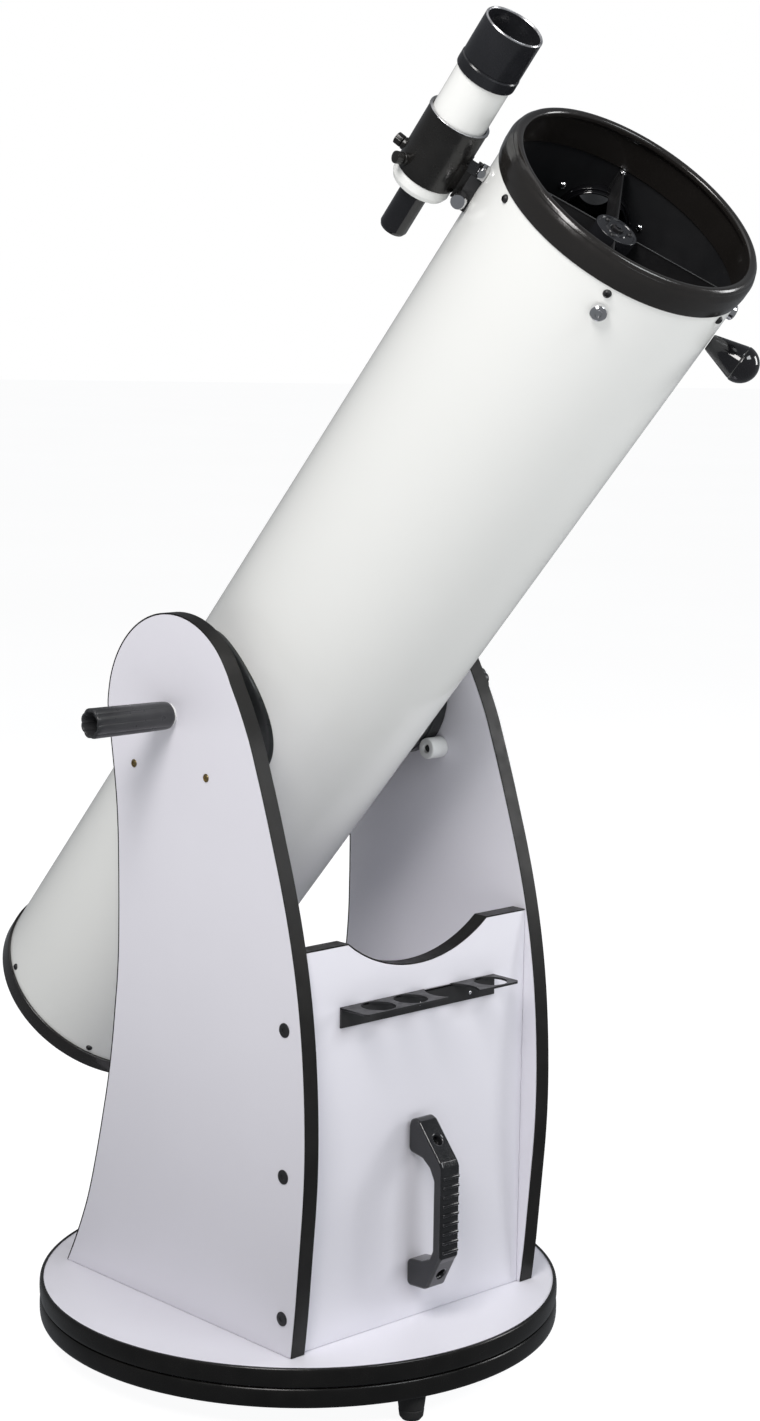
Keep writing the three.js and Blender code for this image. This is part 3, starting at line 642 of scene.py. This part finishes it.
def panels():
    """The three panels, their joint screws with a hexagon socket, and the posts' brass screws."""
    for side, _ in SIDES:
        flat_panel(f"side_panel_{side}", ALONG_X, 0.35)
    flat_panel("front_panel", place((0, 0, 0), (1, 0, 0), (0, -1, 0)), 0.3)
    low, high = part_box("front_panel")
    head_r, head_high = 6.6, 0.9
    for side, sign in SIDES:
        for k, height in enumerate((0.034, 0.166, 0.3)):
            head = lathe([(0, 0), (head_r, 0), (head_r, head_high, 0.5), (0, head_high)], 40)
            socket = prism(ring(head_r * 0.42, 6), head_high * 0.35, head_high + 1)
            at = on_panel(side, sign, (low.y + high.y) / 2, low.z + height)
            piece(f"joint_screw_{side}_{k + 1}", cut(head, socket), turned(at, 17 * k), "satin_black",
                  body="rocker", slot="plastic_dark")
        for spot in ("front", "rear"):
            middle = centre_of(f"bearing_post_{side}_{spot}")
            screw(f"post_screw_{side}_{spot}", on_panel(side, sign, middle.y, middle.z), 3.9, 1.5, "rocker",
                  23 if sign < 0 else 61, "brass_screw")


def on_panel(side, sign, y, z):
    """A place on a side panel's outer face, with Z outwards."""
    return place((outer_face(side, sign) + sign * 0.00005, y, z), (0, 1, 0), (sign, 0, 0))


def bearing_posts():
    """The nylon posts and their bolts."""
    for side, sign in SIDES:
        for spot in ("front", "rear"):
            node = f"bearing_post_{side}_{spot}"
            middle = centre_of(node)
            at = place((0, middle.y, middle.z), (0, 1, 0), (sign, 0, 0))
            low, high, wide = extent(node, at)
            profile = [(2.2, low + 3.5), (4.4, low + 3.5), (4.4, low, 0.4), (wide - 0.4, low, 1.4),
                       (wide, low + 2), (wide, high, 0.4), (2.2, high)]
            lathed(node, "turned", profile, 64, at, "white_nylon")
            bolt = [(0, low + 2.4), (3.6, low + 2.4), (3.6, low + 3.3), (2, low + 3.3), (2, high), (0, high)]
            piece(f"{node}_bolt", lathe(bolt, 24), at, "satin_black", body="rocker")


def eyepiece_rack():
    """A bent sheet: shelf with eyepiece holes, and a rear flange with two screws."""
    node, sheet = "eyepiece_rack", 2
    low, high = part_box(node)
    outline, *holes = cad_outlines(node, ORIGIN)
    top = high.z * 1000
    shelf = prism(smoothed(outline, corner=20), top - sheet, top, [smoothed(h, corner=30) for h in holes])
    back = high.y * 1000
    flange = box_mesh(low.x * 1000, high.x * 1000, back - sheet, back, low.z * 1000, top - 0.6)
    piece("eyepiece_rack_sheet", union(shelf, flange), ORIGIN, "satin_black", node, bevel=0.45)
    for k, x in enumerate((0, 0.065)):
        at = place((x, high.y - 0.00205, low.z + 0.0065), (1, 0, 0), (0, -1, 0))
        screw(f"rack_screw_{k + 1}", at, 1.9, 1, "rocker", 30 * k, "chrome_plate")


def carry_handle():
    """The moulded bar, its ribbed pad, and a screw in a well at each slanted end."""
    node = "carry_handle"
    low, high = span(node, ALONG_X)
    rounded = softened([(p.x, p.y, 5) for p in cad_outlines(node, ALONG_X)[0]])
    front, back = (corner.y * 1000 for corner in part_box(node))
    ribs, pitch, first, rib_r, half = 9, 8.8, 139, 1.9, 9.8
    pad_low, pad_high = first - 5.2, first + pitch * (ribs - 1) + 5.2
    pad = softened([(front + 3.9, pad_low, 1), (front + 2, pad_low, 0.9), (front + 2, pad_high, 0.9),
                    (front + 3.9, pad_high, 1)])
    made = [laid(prism(pad, -8.6, 8.6))]
    for k in range(ribs):
        rib = laid(lathe([(0, -half), (rib_r, -half, 0.9), (rib_r, half, 0.9), (0, half)], 20))
        made.append(shifted(rib, y=front + rib_r + 0.05, z=first + k * pitch))
    wells, places = [], []
    # Each slanted end face runs between two points, in mm from the panel and from the floor.
    for ends in (((-14.355, 256.5), (-42.075, 224)), ((-27.72, 101), (-41.58, 128))):
        a, b = Vector(ends[0]), Vector(ends[1])
        along = (b - a).normalized()
        out = Vector((-abs(along.y), along.x * math.copysign(1, along.y)))
        middle = (a + b) / 2
        at = place(Vector((0, middle.x + back, middle.y)) / 1000, (1, 0, 0), (0, *out))
        places.append(at)
        wells.append(rod(4.6, -7, 4))
        wells[-1].transform(to_mm(ORIGIN) @ at @ MM)
    bar = cut(laid(prism(rounded, low + 0.6, high - 0.6)), *wells)
    piece("carry_handle_bar", bar, ORIGIN, "handle_gloss", node, bevel=2.2, sharp=40)
    piece("carry_handle_pad", merged(*made), ORIGIN, "handle_gloss", body="rocker", slot="plastic_dark",
          bevel=0.3)
    for k, at in enumerate(places):
        screw(f"handle_screw_{k + 1}", moved(at, z=-6.9), 3.9, 2.2, "rocker", 20)


# -------- tube
def main_tube():
    inner = bore("main_tube", TUBE)
    skin = lathe([(inner, TUBE_TAIL), (TUBE_R, TUBE_TAIL), (TUBE_R, TUBE_MOUTH), (inner, TUBE_MOUTH)], 256)
    focuser_hole = rod(31, 80, 140, 64)
    focuser_hole.transform(to_mm(TUBE) @ FOCUSER @ ALONG_X @ MM)

    def inside(centre, normal):
        return normal.xy.dot(centre.xy) < 0.2 * centre.xy.length

    piece("main_tube_skin", cut(skin, focuser_hole), TUBE, "tube_enamel", "main_tube", sharp=40,
          second=("inside_black", inside))


def end_rings():
    slot_out, slot_in = TUBE_R + 0.3, TUBE_R - TUBE_WALL - 0.3
    low, high, out = extent("front_ring", TUBE)
    skirt = 587.4
    profile = [(slot_out, skirt), (out - 0.9, skirt, 0.6), (out, skirt + 7, 10), (out, high - 9, 8),
               (slot_out - 2.6, high, 6), (slot_out - 8.4, high - 1.6, 2.2), (slot_out - 8.6, high - 5.8, 1.6),
               (slot_out - 3.6, high - 9.5, 2), (slot_out - 3.6, low, 0.4), (slot_in, low),
               (slot_in, high - 4.2), (slot_out, high - 4.2)]
    lathed("front_ring", "casting", profile, 256, TUBE, "hammered_enamel", sharp=50)
    low, high, out = extent("rear_ring", TUBE)
    inside = bore("rear_ring", TUBE)
    profile = [(slot_out, high), (out, high, 0.7), (out, low, 2.6), (inside, low, 1), (inside, low + 3, 0.6),
               (slot_out, low + 3)]
    lathed("rear_ring", "casting", profile, 256, TUBE, "hammered_enamel", sharp=50)
    for k in range(6):
        for end, height, radius, tall, turn in (("front", 581, 3.6, 3, 37), ("rear", -428.5, 3.2, 2.4, 53)):
            at = moved(radial(TUBE, 166 + 60 * k, height), z=TUBE_R)
            screw(f"{end}_ring_screw_{k + 1}", at, radius, tall, "tube", turn * k, slot="plastic_dark")


def saddle_mesh(radius, depth, rings=26, segments=96):
    """A round plate bent over the tube, with a rounded rim that comes down to the skin."""
    gap = 0.35

    def bent(r, height):
        """A circle of radius r laid on a cylinder that stands that height off the tube's skin."""
        return [(math.sqrt((TUBE_R + height) ** 2 - x ** 2), x, y) for x, y, _ in ring(r, segments)]

    levels = [(radius * k / rings, depth) for k in range(1, rings)]
    levels += [(radius - 1.4, depth), (radius - 0.4, depth - 0.4), (radius, depth - 1.3), (radius, gap)]
    levels += [(radius * (rings - k) / rings, gap) for k in range(1, rings)]
    bm = bmesh.new()
    top, bottom = [bm.verts.new(bent(0, height)[0]) for height in (depth, gap)]
    rows = [[bm.verts.new(p) for p in bent(r, height)] for r, height in levels]
    for strip in (rows, (rows[0], [top]), ([bottom], rows[-1])):
        skin(bm, strip)
    return bm


def altitude_bearings():
    drum_r, saddle_r, saddle_depth, root, stud_r = 62.8, 75, 4, 113, 4.3
    for side, turn in (("left", 180), ("right", 0)):
        node = f"altitude_bearing_{side}"
        at = turned(TUBE, turn)
        out = span(node, at @ ALONG_X)[1]
        profile = [(stud_r, root), (drum_r, root), (drum_r, 121, 0.5), (drum_r - 1.2, 122.2, 0.5),
                   (drum_r - 1.2, 123.2, 0.5), (drum_r, 124.4, 0.5), (drum_r, out, 1.4), (drum_r - 7, out, 0.8),
                   (drum_r - 8, out - 1.2, 0.8), (26, out - 1.2, 0.8), (25, out, 0.8), (stud_r, out)]
        solid = union(saddle_mesh(saddle_r, saddle_depth), laid(lathe(profile, 128)))
        casting = cut(solid, rod(TUBE_R + 0.35, -90, 90, 256), laid(rod(stud_r, 100, 150)))
        piece(f"{node}_casting", casting, at, "bearing_plastic", node, sharp=38)
        for k, along in enumerate((69, -69)):
            spot = moved(at, x=TUBE_R + saddle_depth, z=along).translation
            screw(f"{node}_screw_{k + 1}", place(spot, SKY, at.to_3x3().col[0]), 3.4, 1.8, "tube")


def tension_handles():
    """Fluted grips on the altitude axis, with their studs and washers."""
    for side, sign in SIDES:
        node = f"tension_handle_{side}"
        at = place(JOINTS["altitude"]["pos_m"], (0, sign, 0), (sign, 0, 0))
        _, out, wide = extent(node, at)
        start = outer_face(side, sign) * 1000 * sign + 2.2
        rows = [(0.62, 0, start), (0.8, 0, start + 0.5), (0.885, 0.01, start + 2.2),
                (0.915, 0.03, start + 5.5), (0.93, 0.05, start + 12)]
        rows += [(0.93 + 0.062 * share, 0.05 + 0.05 * share, start + share * (out - start))
                 for share in (0.25, 0.5, 0.75, 0.93)]
        rows += [(0.995, 0.105, out - 2.4), (0.975, 0.11, out - 0.8), (0.93, 0.11, out), (0.8, 0.11, out),
                 (0.76, 0.12, out - 0.8), (0.72, 0.12, out - 16)]
        piece(f"{node}_grip", loft(fluted(wide, 8, 192, rows)), at, "grip_plastic", node, sharp=45)
        stud = lathe([(0, 120), (3.9, 120, 0.5), (3.9, start + 2), (0, start + 2)], 32)
        piece(f"{node}_stud", stud, at, "machined_steel", body=BODY_OF[node])
        near, far = start - 2, start - 0.4
        washer = lathe([(4.2, near), (10.6, near, 0.3), (10.6, far, 0.3), (4.2, far)], 48)
        piece(f"{node}_washer", washer, at, "white_nylon", body=BODY_OF[node], slot="nylon_white")


def spider():
    """The hub, four vanes with rolled upper edges, their hardware, and the secondary mirror on its holder."""
    top = span("secondary_holder", TUBE)[1] - 4
    hub_r, vane_low, vane_high, nut_height = 19, top - 25.2, top - 1.6, 565
    profile = [(3.3, top - 12), (hub_r - 0.7, top - 12), (hub_r - 0.7, top - 25), (hub_r, top - 25, 0.3),
               (hub_r, top, 0.8), (hub_r - 2.4, top, 0.4), (hub_r - 3, top - 0.9, 0.3), (9.8, top - 0.9, 0.3),
               (9, top, 0.4), (6.4, top, 0.4), (6, top - 0.8, 0.3), (3.3, top - 0.8)]
    lathed("spider", "hub", profile, 96, TUBE, "black_anodised", bevel=0.2)
    inner = TUBE_R - TUBE_WALL - 0.3
    angles = [FOCUS_ANGLE + 90 * k for k in range(4)]
    vanes = []
    for angle in angles:
        vanes += [spun(box_mesh(hub_r - 0.4, inner - 0.6, -0.45, 0.45, vane_low, vane_high), angle),
                  spun(box_mesh(inner - 2.6, inner, -3, 3, vane_low, vane_high), angle),
                  spoke(rod(0.8, hub_r - 1, inner - 1, 16), top - 1.7, angle)]
    studs = [spoke(rod(2.2, inner - 0.5, TUBE_R + 5, 20), nut_height, angle) for angle in angles]
    piece("spider_vanes", merged(*vanes, *studs), TUBE, "satin_black", slot="spider_black", bevel=0.2)
    for k, angle in enumerate(angles):
        node = f"spider_nut_{k + 1}"
        at = radial(TUBE, angle, nut_height)
        low, high = span(node, at)
        nut = lathe([(2.6, low), (7, low, 0.4), (7, high - 1.9, 0.5), (5.6, high - 0.5, 0.8), (4.4, high, 0.6),
                     (3.6, high - 0.5, 0.3), (2.6, high - 0.5)], 72)
        cap = lathe([(0, high - 2.6), (2.5, high - 2.6), (2.5, high - 0.9, 0.4), (0, high - 0.7)], 32)
        piece(f"{node}_dome", merged(nut, cap), at, "chrome_plate", node)
    cad_piece("secondary_holder", "stem", TUBE, "black_anodised", 0.3)
    cad_piece("secondary_mirror", "flat", TUBE, "silvered_glass", 0.25, sharp=30)
    for k, angle in enumerate(angles):
        washer = lathe([(0, -1.2), (3.6, -1.2, 0.3), (3.6, 0.6, 0.4), (2.2, 1, 0.4), (2, 1.8, 0.4), (0, 2)], 32)
        piece(f"vane_washer_{k + 1}", washer, on_disc(angle, inner - 5.2, top - 1.7), "chrome_plate",
              slot="chrome_nut")
    for k in range(3):
        at = on_disc(FOCUS_ANGLE + 45 + 120 * k, 12.6, top - 0.9)
        screw(f"secondary_screw_{k + 1}", at, 2.1, 2, "tube", 40 * k)
    bolt = lathe([(0, 0), (5.4, 0, 0.3), (5.4, 3.2, 0.7), (0, 3.4)], 6)
    piece("secondary_centre_bolt", bolt, moved(TUBE, z=top - 0.8), "satin_black", bevel=0.3)


def on_disc(degrees, radius, height):
    """A place in the tube at an angle, radius and height, turned as the tube is."""
    angle = math.radians(degrees)
    return moved(TUBE, radius * math.cos(angle), radius * math.sin(angle), height)


def mirror_end():
    """The cell, the sprung plate with the primary mirror, and the collimation bolts."""
    cad_piece("mirror_cell", "casting", TUBE, "hammered_enamel", 0.8)
    cad_piece("mirror_plate", "casting", TUBE, "satin_black", 0.5)
    low, high, wide = extent("primary_mirror", TUBE)
    sag, steps = 2.3, 16
    profile = [(0, low), (wide, low, 0.8), (wide, high, 0.5)]
    profile += [(wide * k / steps, high - sag * (1 - (k / steps) ** 2)) for k in range(steps - 1, -1, -1)]

    def silvered(_, normal):
        return normal.z > 0.9

    lathed("primary_mirror", "blank", profile, 160, TUBE, "ground_glass",
           second=("silvered_glass", silvered))
    spring_low, spring_high = span("mirror_cell", TUBE)[1] + 0.9, span("mirror_plate", TUBE)[0] - 0.9
    for k in (1, 2, 3):
        node = f"collimation_knob_{k}"
        local = TO_TUBE @ Vector(JOINTS[f"{node}_turn"]["pos_m"])
        at = moved(TUBE, local.x * 1000, local.y * 1000)
        low, high, knob_r = extent(node, at)
        rows = ((0.8, 0.02, 0), (0.94, 0.05, 0.5), (0.995, 0.07, 1.8), (1, 0.08, 7.4), (0.94, 0.05, 8.7),
                (0.7, 0.02, 9))
        piece(f"{node}_head", loft(fluted(knob_r, 12, 96, rows, low)), at, "machined_steel", node, sharp=45)
        bolt = lathe([(0, low + 8), (2.2, low + 8), (2.2, high, 0.3), (0, high)], 24)
        piece(f"{node}_bolt", bolt, at, "machined_steel", body=BODY_OF[node])
        piece(f"collimation_spring_{k}", spring(4.6, 0.8, spring_low, spring_high, 3.5), at, "machined_steel",
              sharp=60)


def spring(radius, wire, low, high, turns, per_turn=28, sides=8):
    """A compression coil along Z."""
    count = int(turns * per_turn)
    loops = []
    for k in range(count + 1):
        angle = 2 * math.pi * k / per_turn
        out = Vector((math.cos(angle), math.sin(angle), 0))
        middle = out * radius + Vector((0, 0, low + (high - low) * k / count))
        loops.append([middle + out * x + Vector((0, 0, z)) for x, z, _ in ring(wire, sides)])
    return loft(loops)


# -------- focuser
def focuser():
    out_axis = FOCUSER @ ALONG_X
    cad_piece("focuser_base", "casting", FOCUSER, "black_anodised", 0.8)
    low, high, wide = extent("drawtube", out_axis)
    flange = high - 18
    profile = [(26, low, 0.3), (27.9, low, 0.5), (27.9, flange - 3, 0.4), (27.3, flange, 0.3),
               (wide, flange, 0.9), (wide, flange + 5, 0.4), (wide - 1, flange + 6, 0.4),
               (wide - 1, high - 5, 0.4), (wide, high - 4, 0.4), (wide, high, 1), (26, high, 0.4)]
    lathed("drawtube", "barrel", profile, 96, out_axis, "black_anodised")
    low, high, wide = extent("eyepiece_adapter", out_axis)
    shoulder = high - 10.7
    profile = [(15.9, low), (25.6, low, 0.8), (25.6, shoulder), (wide, shoulder, 0.7), (wide, high, 1.2),
               (17.4, high, 0.6), (15.9, high - 1.5)]
    lathed("eyepiece_adapter", "ring", profile, 96, out_axis, "black_anodised")
    clamp = moved(FOCUSER, x=185) @ ALONG_Y
    thumb_screw("drawtube_clamp_screw", clamp, 6.5, 34.6, "chrome_plate")
    knobs = moved(FOCUSER, x=145, z=tube_height("focus_knobs_turn") - CLAMP_HEIGHT) @ ALONG_Y
    low, high, wide = extent("focus_knobs", knobs)
    rows = ((0.86, 0, 36), (0.96, 0.01, 36.6), (1, 0.035, 38.2), (1, 0.035, 54), (0.96, 0.01, 56.4),
            (0.84, 0, 58), (0.66, 0, 58), (0.62, 0, 57))
    pair = [loft(fluted(wide, 24, 144, rows, unit=side)) for side in (-1, 1)]
    piece("focus_knobs_pair", merged(rod(3, low + 3, high - 3), *pair), knobs, "grip_plastic", "focus_knobs",
          sharp=45)


def focuser_inside():
    """The collar and the four bolt heads that show through the tube's mouth."""
    collar = [(29.4, 101, 0.3), (30.6, 100.2, 0.4), (31.4, 101, 0.4), (31.4, 103.4, 0.3), (33.4, 103.4, 0.6),
              (34.2, 105, 0.6), (34.2, 112.6), (29.4, 112.6)]
    piece("focuser_inner_collar", lathe(collar, 96), FOCUSER @ ALONG_X, "gloss_black", slot="focuser_black")
    inner, k = TUBE_R - TUBE_WALL - 0.15, 0
    for across in (-38, 38):
        angle = math.degrees(math.asin(across / (TUBE_R - 1.5)))
        for along in (-17, 17):
            at = moved(turned(FOCUSER, angle), x=inner, z=along)
            k += 1
            screw(f"focuser_bolt_{k}", place(at.translation, SKY, -at.to_3x3().col[0]), 3.4, 2.2, "tube",
                  25 * (k - 1), "chrome_plate", "chrome_nut")


# -------- finder
def finder_mount():
    """The shoe, and the bracket with two alignment screws and a sprung plunger at one height."""
    cad_piece("finder_shoe", "dovetail", FINDER_SIDE, "satin_black", 0.5)
    thumb_screw("finder_shoe_screw", moved(FINDER_SIDE, x=121.4, z=536) @ ALONG_Y, 6.6, 17.6, "chrome_plate")

    low, high = span("finder_bracket", FINDER)
    bore_r, screw_height = 25, 538
    barrel = lathe([(bore_r, low, 0.3), (26.8, low, 0.5), (26.8, high - 2.4, 0.4), (27.4, high - 1.8, 0.3),
                    (27.4, high, 0.5), (bore_r, high, 0.4)], 128)
    stalk = prism([(-27.2, -10), (-16, -10), (-16, 20), (-27.2, 12)], 537, 560)
    foot = box_mesh(-37.6, -26.6, -12, 12, low, 556)
    angles = {}
    for name in ("finder_align_screw_1", "finder_align_screw_2", "finder_spring_plunger"):
        middle = FINDER.inverted() @ centre_of(name)
        angles[name] = math.degrees(math.atan2(middle.y, middle.x))
    seats = [spoke(lathe([(0, 24.5), (5.5, 24.5), (5.5, 29.5, 0.7), (0, 29.5)], 32), screw_height, angle)
             for angle in angles.values()]
    holes = [spoke(rod(2.4, 15, 40, 20), screw_height, angle) for angle in angles.values()]
    bracket = cut(union(barrel, stalk, foot, *seats), rod(bore_r, 500, 620, 128), *holes)

    # The bracket's top edge takes a light metallic grey: a painted highlight along its upper rim.
    def painted_highlight_on_top(centre, _):
        return centre.z > high - 0.3

    piece("finder_bracket_ring", bracket, FINDER, "moulded_black", "finder_bracket", sharp=35, bevel=0.25,
          second=("worn_edge_and_painted_highlight", painted_highlight_on_top))
    for name, angle in angles.items():
        surface = "chrome_plate" if name.endswith("plunger") else "moulded_black"
        thumb_screw(name, radial(FINDER, angle, screw_height), 5.2, 30, surface)


def finder_tube():
    low, high = span("finder_tube", FINDER)
    inner_r = 21.3
    profile = [(inner_r, 525), (12.6, 525), (12.6, low, 0.3), (23.4, low, 1.6), (25.8, low + 4.6, 1.2),
               (25.8, 528.7, 0.5), (24.2, 528.7), (24.2, 628.5), (23.2, 628.5), (23.2, high, 0.3),
               (inner_r, high)]

    def inside(centre, normal):
        return centre.xy.length < inner_r + 0.1 and abs(normal.z) < 0.7

    lathed("finder_tube", "barrel", profile, 128, FINDER, "tube_enamel", sharp=40,
           second=("inside_black", inside))


def finder_eyepiece():
    low, high, wide = extent("finder_eyepiece", FINDER)
    profile = [(0, low + 2.2), (6.8, low + 2.2), (8.4, low + 0.4, 0.4), (wide - 1.6, low, 1.2),
               (wide, low + 3.4, 1.6), (wide, high - 24, 0.3), (wide - 0.5, high - 23.4, 0.2),
               (wide - 0.5, high - 22.6, 0.2), (wide, high - 22, 0.3), (wide, high), (0, high)]
    lathed("finder_eyepiece", "barrel", profile, 96, FINDER, "gloss_black")
    eye = lathe([(0, low + 1.2), (6.6, low + 1.7), (6.6, low + 2.1), (0, low + 2.1)], 64)
    piece("finder_eye_lens", eye, FINDER, "coated_lens", slot="lens_glass")


def dew_shield():
    """The focusing shield with its knurled grip, the lens, and the ring that holds it."""
    body, slot = BODY_OF["dew_shield"], "shield_black"
    low, high = span("dew_shield", FINDER)
    bore_r, grip_r = 23.5, 26.2
    profile = [(bore_r, low), (26, low, 0.3), (grip_r, low + 1.2, 0.3), (grip_r, low + 9.4, 0.4),
               (25.2, low + 10.4, 0.3), (25.2, low + 11.2, 0.3), (25.7, low + 12, 0.4), (25.7, high - 1, 0.7),
               (24.9, high, 0.3), (24.2, high, 0.4), (bore_r, high - 1.2, 0.3)]

    def is_rim(centre, _):
        return centre.z > high - 1.6 and centre.xy.length > bore_r

    lathed("dew_shield", "barrel", profile, 144, FINDER, "black_anodised", sharp=45,
           second=("worn_edge_and_painted_highlight", is_rim))
    grip_low, grip_high, steps = low + 1.4, low + 9.2, 288
    knurl = fluted(grip_r, 72, steps, [(0.99, 0, grip_low), (1, 0.012, grip_low + 0.5),
                                       (1, 0.012, grip_high - 0.5), (0.99, 0, grip_high)])
    sleeve = shell([*knurl, ring(25.6, steps, grip_high), ring(25.6, steps, grip_low)], closed=True)
    piece("dew_shield_knurl", sleeve, FINDER, "moulded_black", body=body, slot=slot, sharp=50)

    low, high, wide = extent("finder_lens", FINDER)
    sag, steps = 2, 12
    profile = [(0, low), (wide, low + 1.2, 0.2), (wide, high - sag, 0.2)]
    profile += [(wide * k / steps, high - sag * (k / steps) ** 2) for k in range(steps - 1, -1, -1)]
    lathed("finder_lens", "doublet", profile, 96, FINDER, "coated_lens")
    retainer = lathe([(20.2, high + 9), (23.45, high + 9), (23.45, high + 13), (20.9, high + 13, 0.3),
                      (20.2, high + 12.2, 0.3)], 96)
    piece("finder_lens_retainer", retainer, FINDER, "worn_edge_and_painted_highlight", body=body, slot=slot)


def steering_knob():
    node, dome, steps = "steering_knob", 16.4, 12
    middle = TO_TUBE @ centre_of(node)
    at = radial(TUBE, math.degrees(math.atan2(middle.y, middle.x)), sum(span(node, TUBE)) / 2)
    low, high, wide = extent(node, at)
    profile = [(0, low), (7, low, 0.8), (8, low + 3, 1), (wide - 0.7, low + 28.5, 0.6),
               (wide - 0.9, low + 29.1, 0.2), (wide - 0.4, low + 29.7, 0.3)]
    for k in range(steps + 1):
        angle = math.radians(90 * k / steps)
        profile.append((wide * math.cos(angle) if k < steps else 0, high - dome * (1 - math.sin(angle))))
    piece("steering_knob_grip", lathe(profile, 96), at, "gloss_black", node, sharp=28)


# -------- stage, light and camera
def studio_floor():
    """A wide pale floor that glows softly, as a lit sweep does, and stays out of the gloss of black parts.

    The part under the object gives it no light, so that the object is darker towards its foot.
    """
    near, rim, steps = 0.7, 60, 128
    disc = bmesh.new()
    bmesh.ops.create_circle(disc, cap_ends=True, radius=near, segments=steps)
    for name, bm in (("floor_near", disc), ("floor_far", shell([ring(near, steps), ring(rim, steps)]))):
        part = new_object(name, bm)
        part.data.materials.append(look("pale_floor"))
        part.location.z = -0.0006
        part.visible_glossy = False
        part.visible_diffuse = name == "floor_far"


def studio_world():
    """White behind the object, and a much dimmer grey room around it."""
    world = bpy.data.worlds.new("studio")
    bpy.context.scene.world = world
    world.use_nodes = True
    tree = world.node_tree
    room = tree.nodes["Background"]
    room.inputs["Color"].default_value = (0.9, 0.94, 1, 1)
    room.inputs["Strength"].default_value = 0.2
    backdrop = add_node(tree, "ShaderNodeBackground", {"Color": (1, 1, 1, 1)})
    seen = tree.nodes.new("ShaderNodeLightPath")
    mix = add_node(tree, "ShaderNodeMixShader", {
        0: seen.outputs["Is Camera Ray"], 1: room.outputs["Background"], 2: backdrop.outputs["Background"]})
    tree.links.new(mix.outputs["Shader"], tree.nodes["World Output"].inputs["Surface"])


def studio_lamps():
    target = Vector((0, -0.1, 0.95))
    for name, position, size, power, colour in (
            ("key", (-1.9, -1.2, 2.7), (0.9, 1.6), 70, (1, 0.975, 0.96)),
            ("front_fill", (0.4, -3, 2.6), (1.4, 1), 37, (0.95, 0.98, 1)),
            ("right", (2.9, -1.9, 1.6), (0.8, 1.6), 37, (1, 1, 1)),
            ("back", (1.2, 2.8, 2.2), (1.4, 1.4), 14, (1, 1, 1)),
            ("top", (-0.1, 0.3, 3.4), (2, 2), 8, (1, 1, 1))):
        data = bpy.data.lights.new(name, "AREA")
        data.shape = "RECTANGLE"
        data.size, data.size_y = size
        data.energy = power
        data.color = colour
        lamp = bpy.data.objects.new(name, data)
        lamp.location = position
        lamp.visible_glossy = name != "back"
        lamp.rotation_euler = (target - Vector(position)).to_track_quat("-Z", "Y").to_euler()
        bpy.context.scene.collection.objects.link(lamp)
    bpy.context.scene.view_settings.view_transform = "Standard"


def camera():
    """Stands where the photograph was taken, with the same field of view and shift."""
    pan, tilt, roll = math.radians(42.51), math.radians(8.815), math.radians(0.706)
    forward = Vector((math.cos(tilt) * math.sin(pan), math.cos(tilt) * math.cos(pan), -math.sin(tilt)))
    level = Vector((math.cos(pan), -math.sin(pan), 0))
    upright = level.cross(forward)
    right = math.cos(roll) * level + math.sin(roll) * upright
    up = math.cos(roll) * upright - math.sin(roll) * level
    data = bpy.data.cameras.new("camera")
    data.lens = 65.34
    data.sensor_width = 36
    data.shift_x, data.shift_y = 0.0252, 0.022
    data.clip_start, data.clip_end = 0.05, 60
    obj = bpy.data.objects.new("camera", data)
    obj.matrix_world = Matrix((right, up, -forward)).transposed().to_4x4()
    obj.matrix_world.translation = (-1.6075, -1.7659, 0.9624)
    bpy.context.scene.collection.objects.link(obj)
    bpy.context.scene.camera = obj


for make in (camera, boards, feet_and_pads, pivot, panels, bearing_posts, eyepiece_rack, carry_handle,
             main_tube, end_rings, altitude_bearings, tension_handles, spider, focuser_inside, mirror_end,
             focuser, finder_mount, finder_tube, dew_shield, finder_eyepiece, steering_knob,
             studio_floor, studio_world, studio_lamps):
    make()
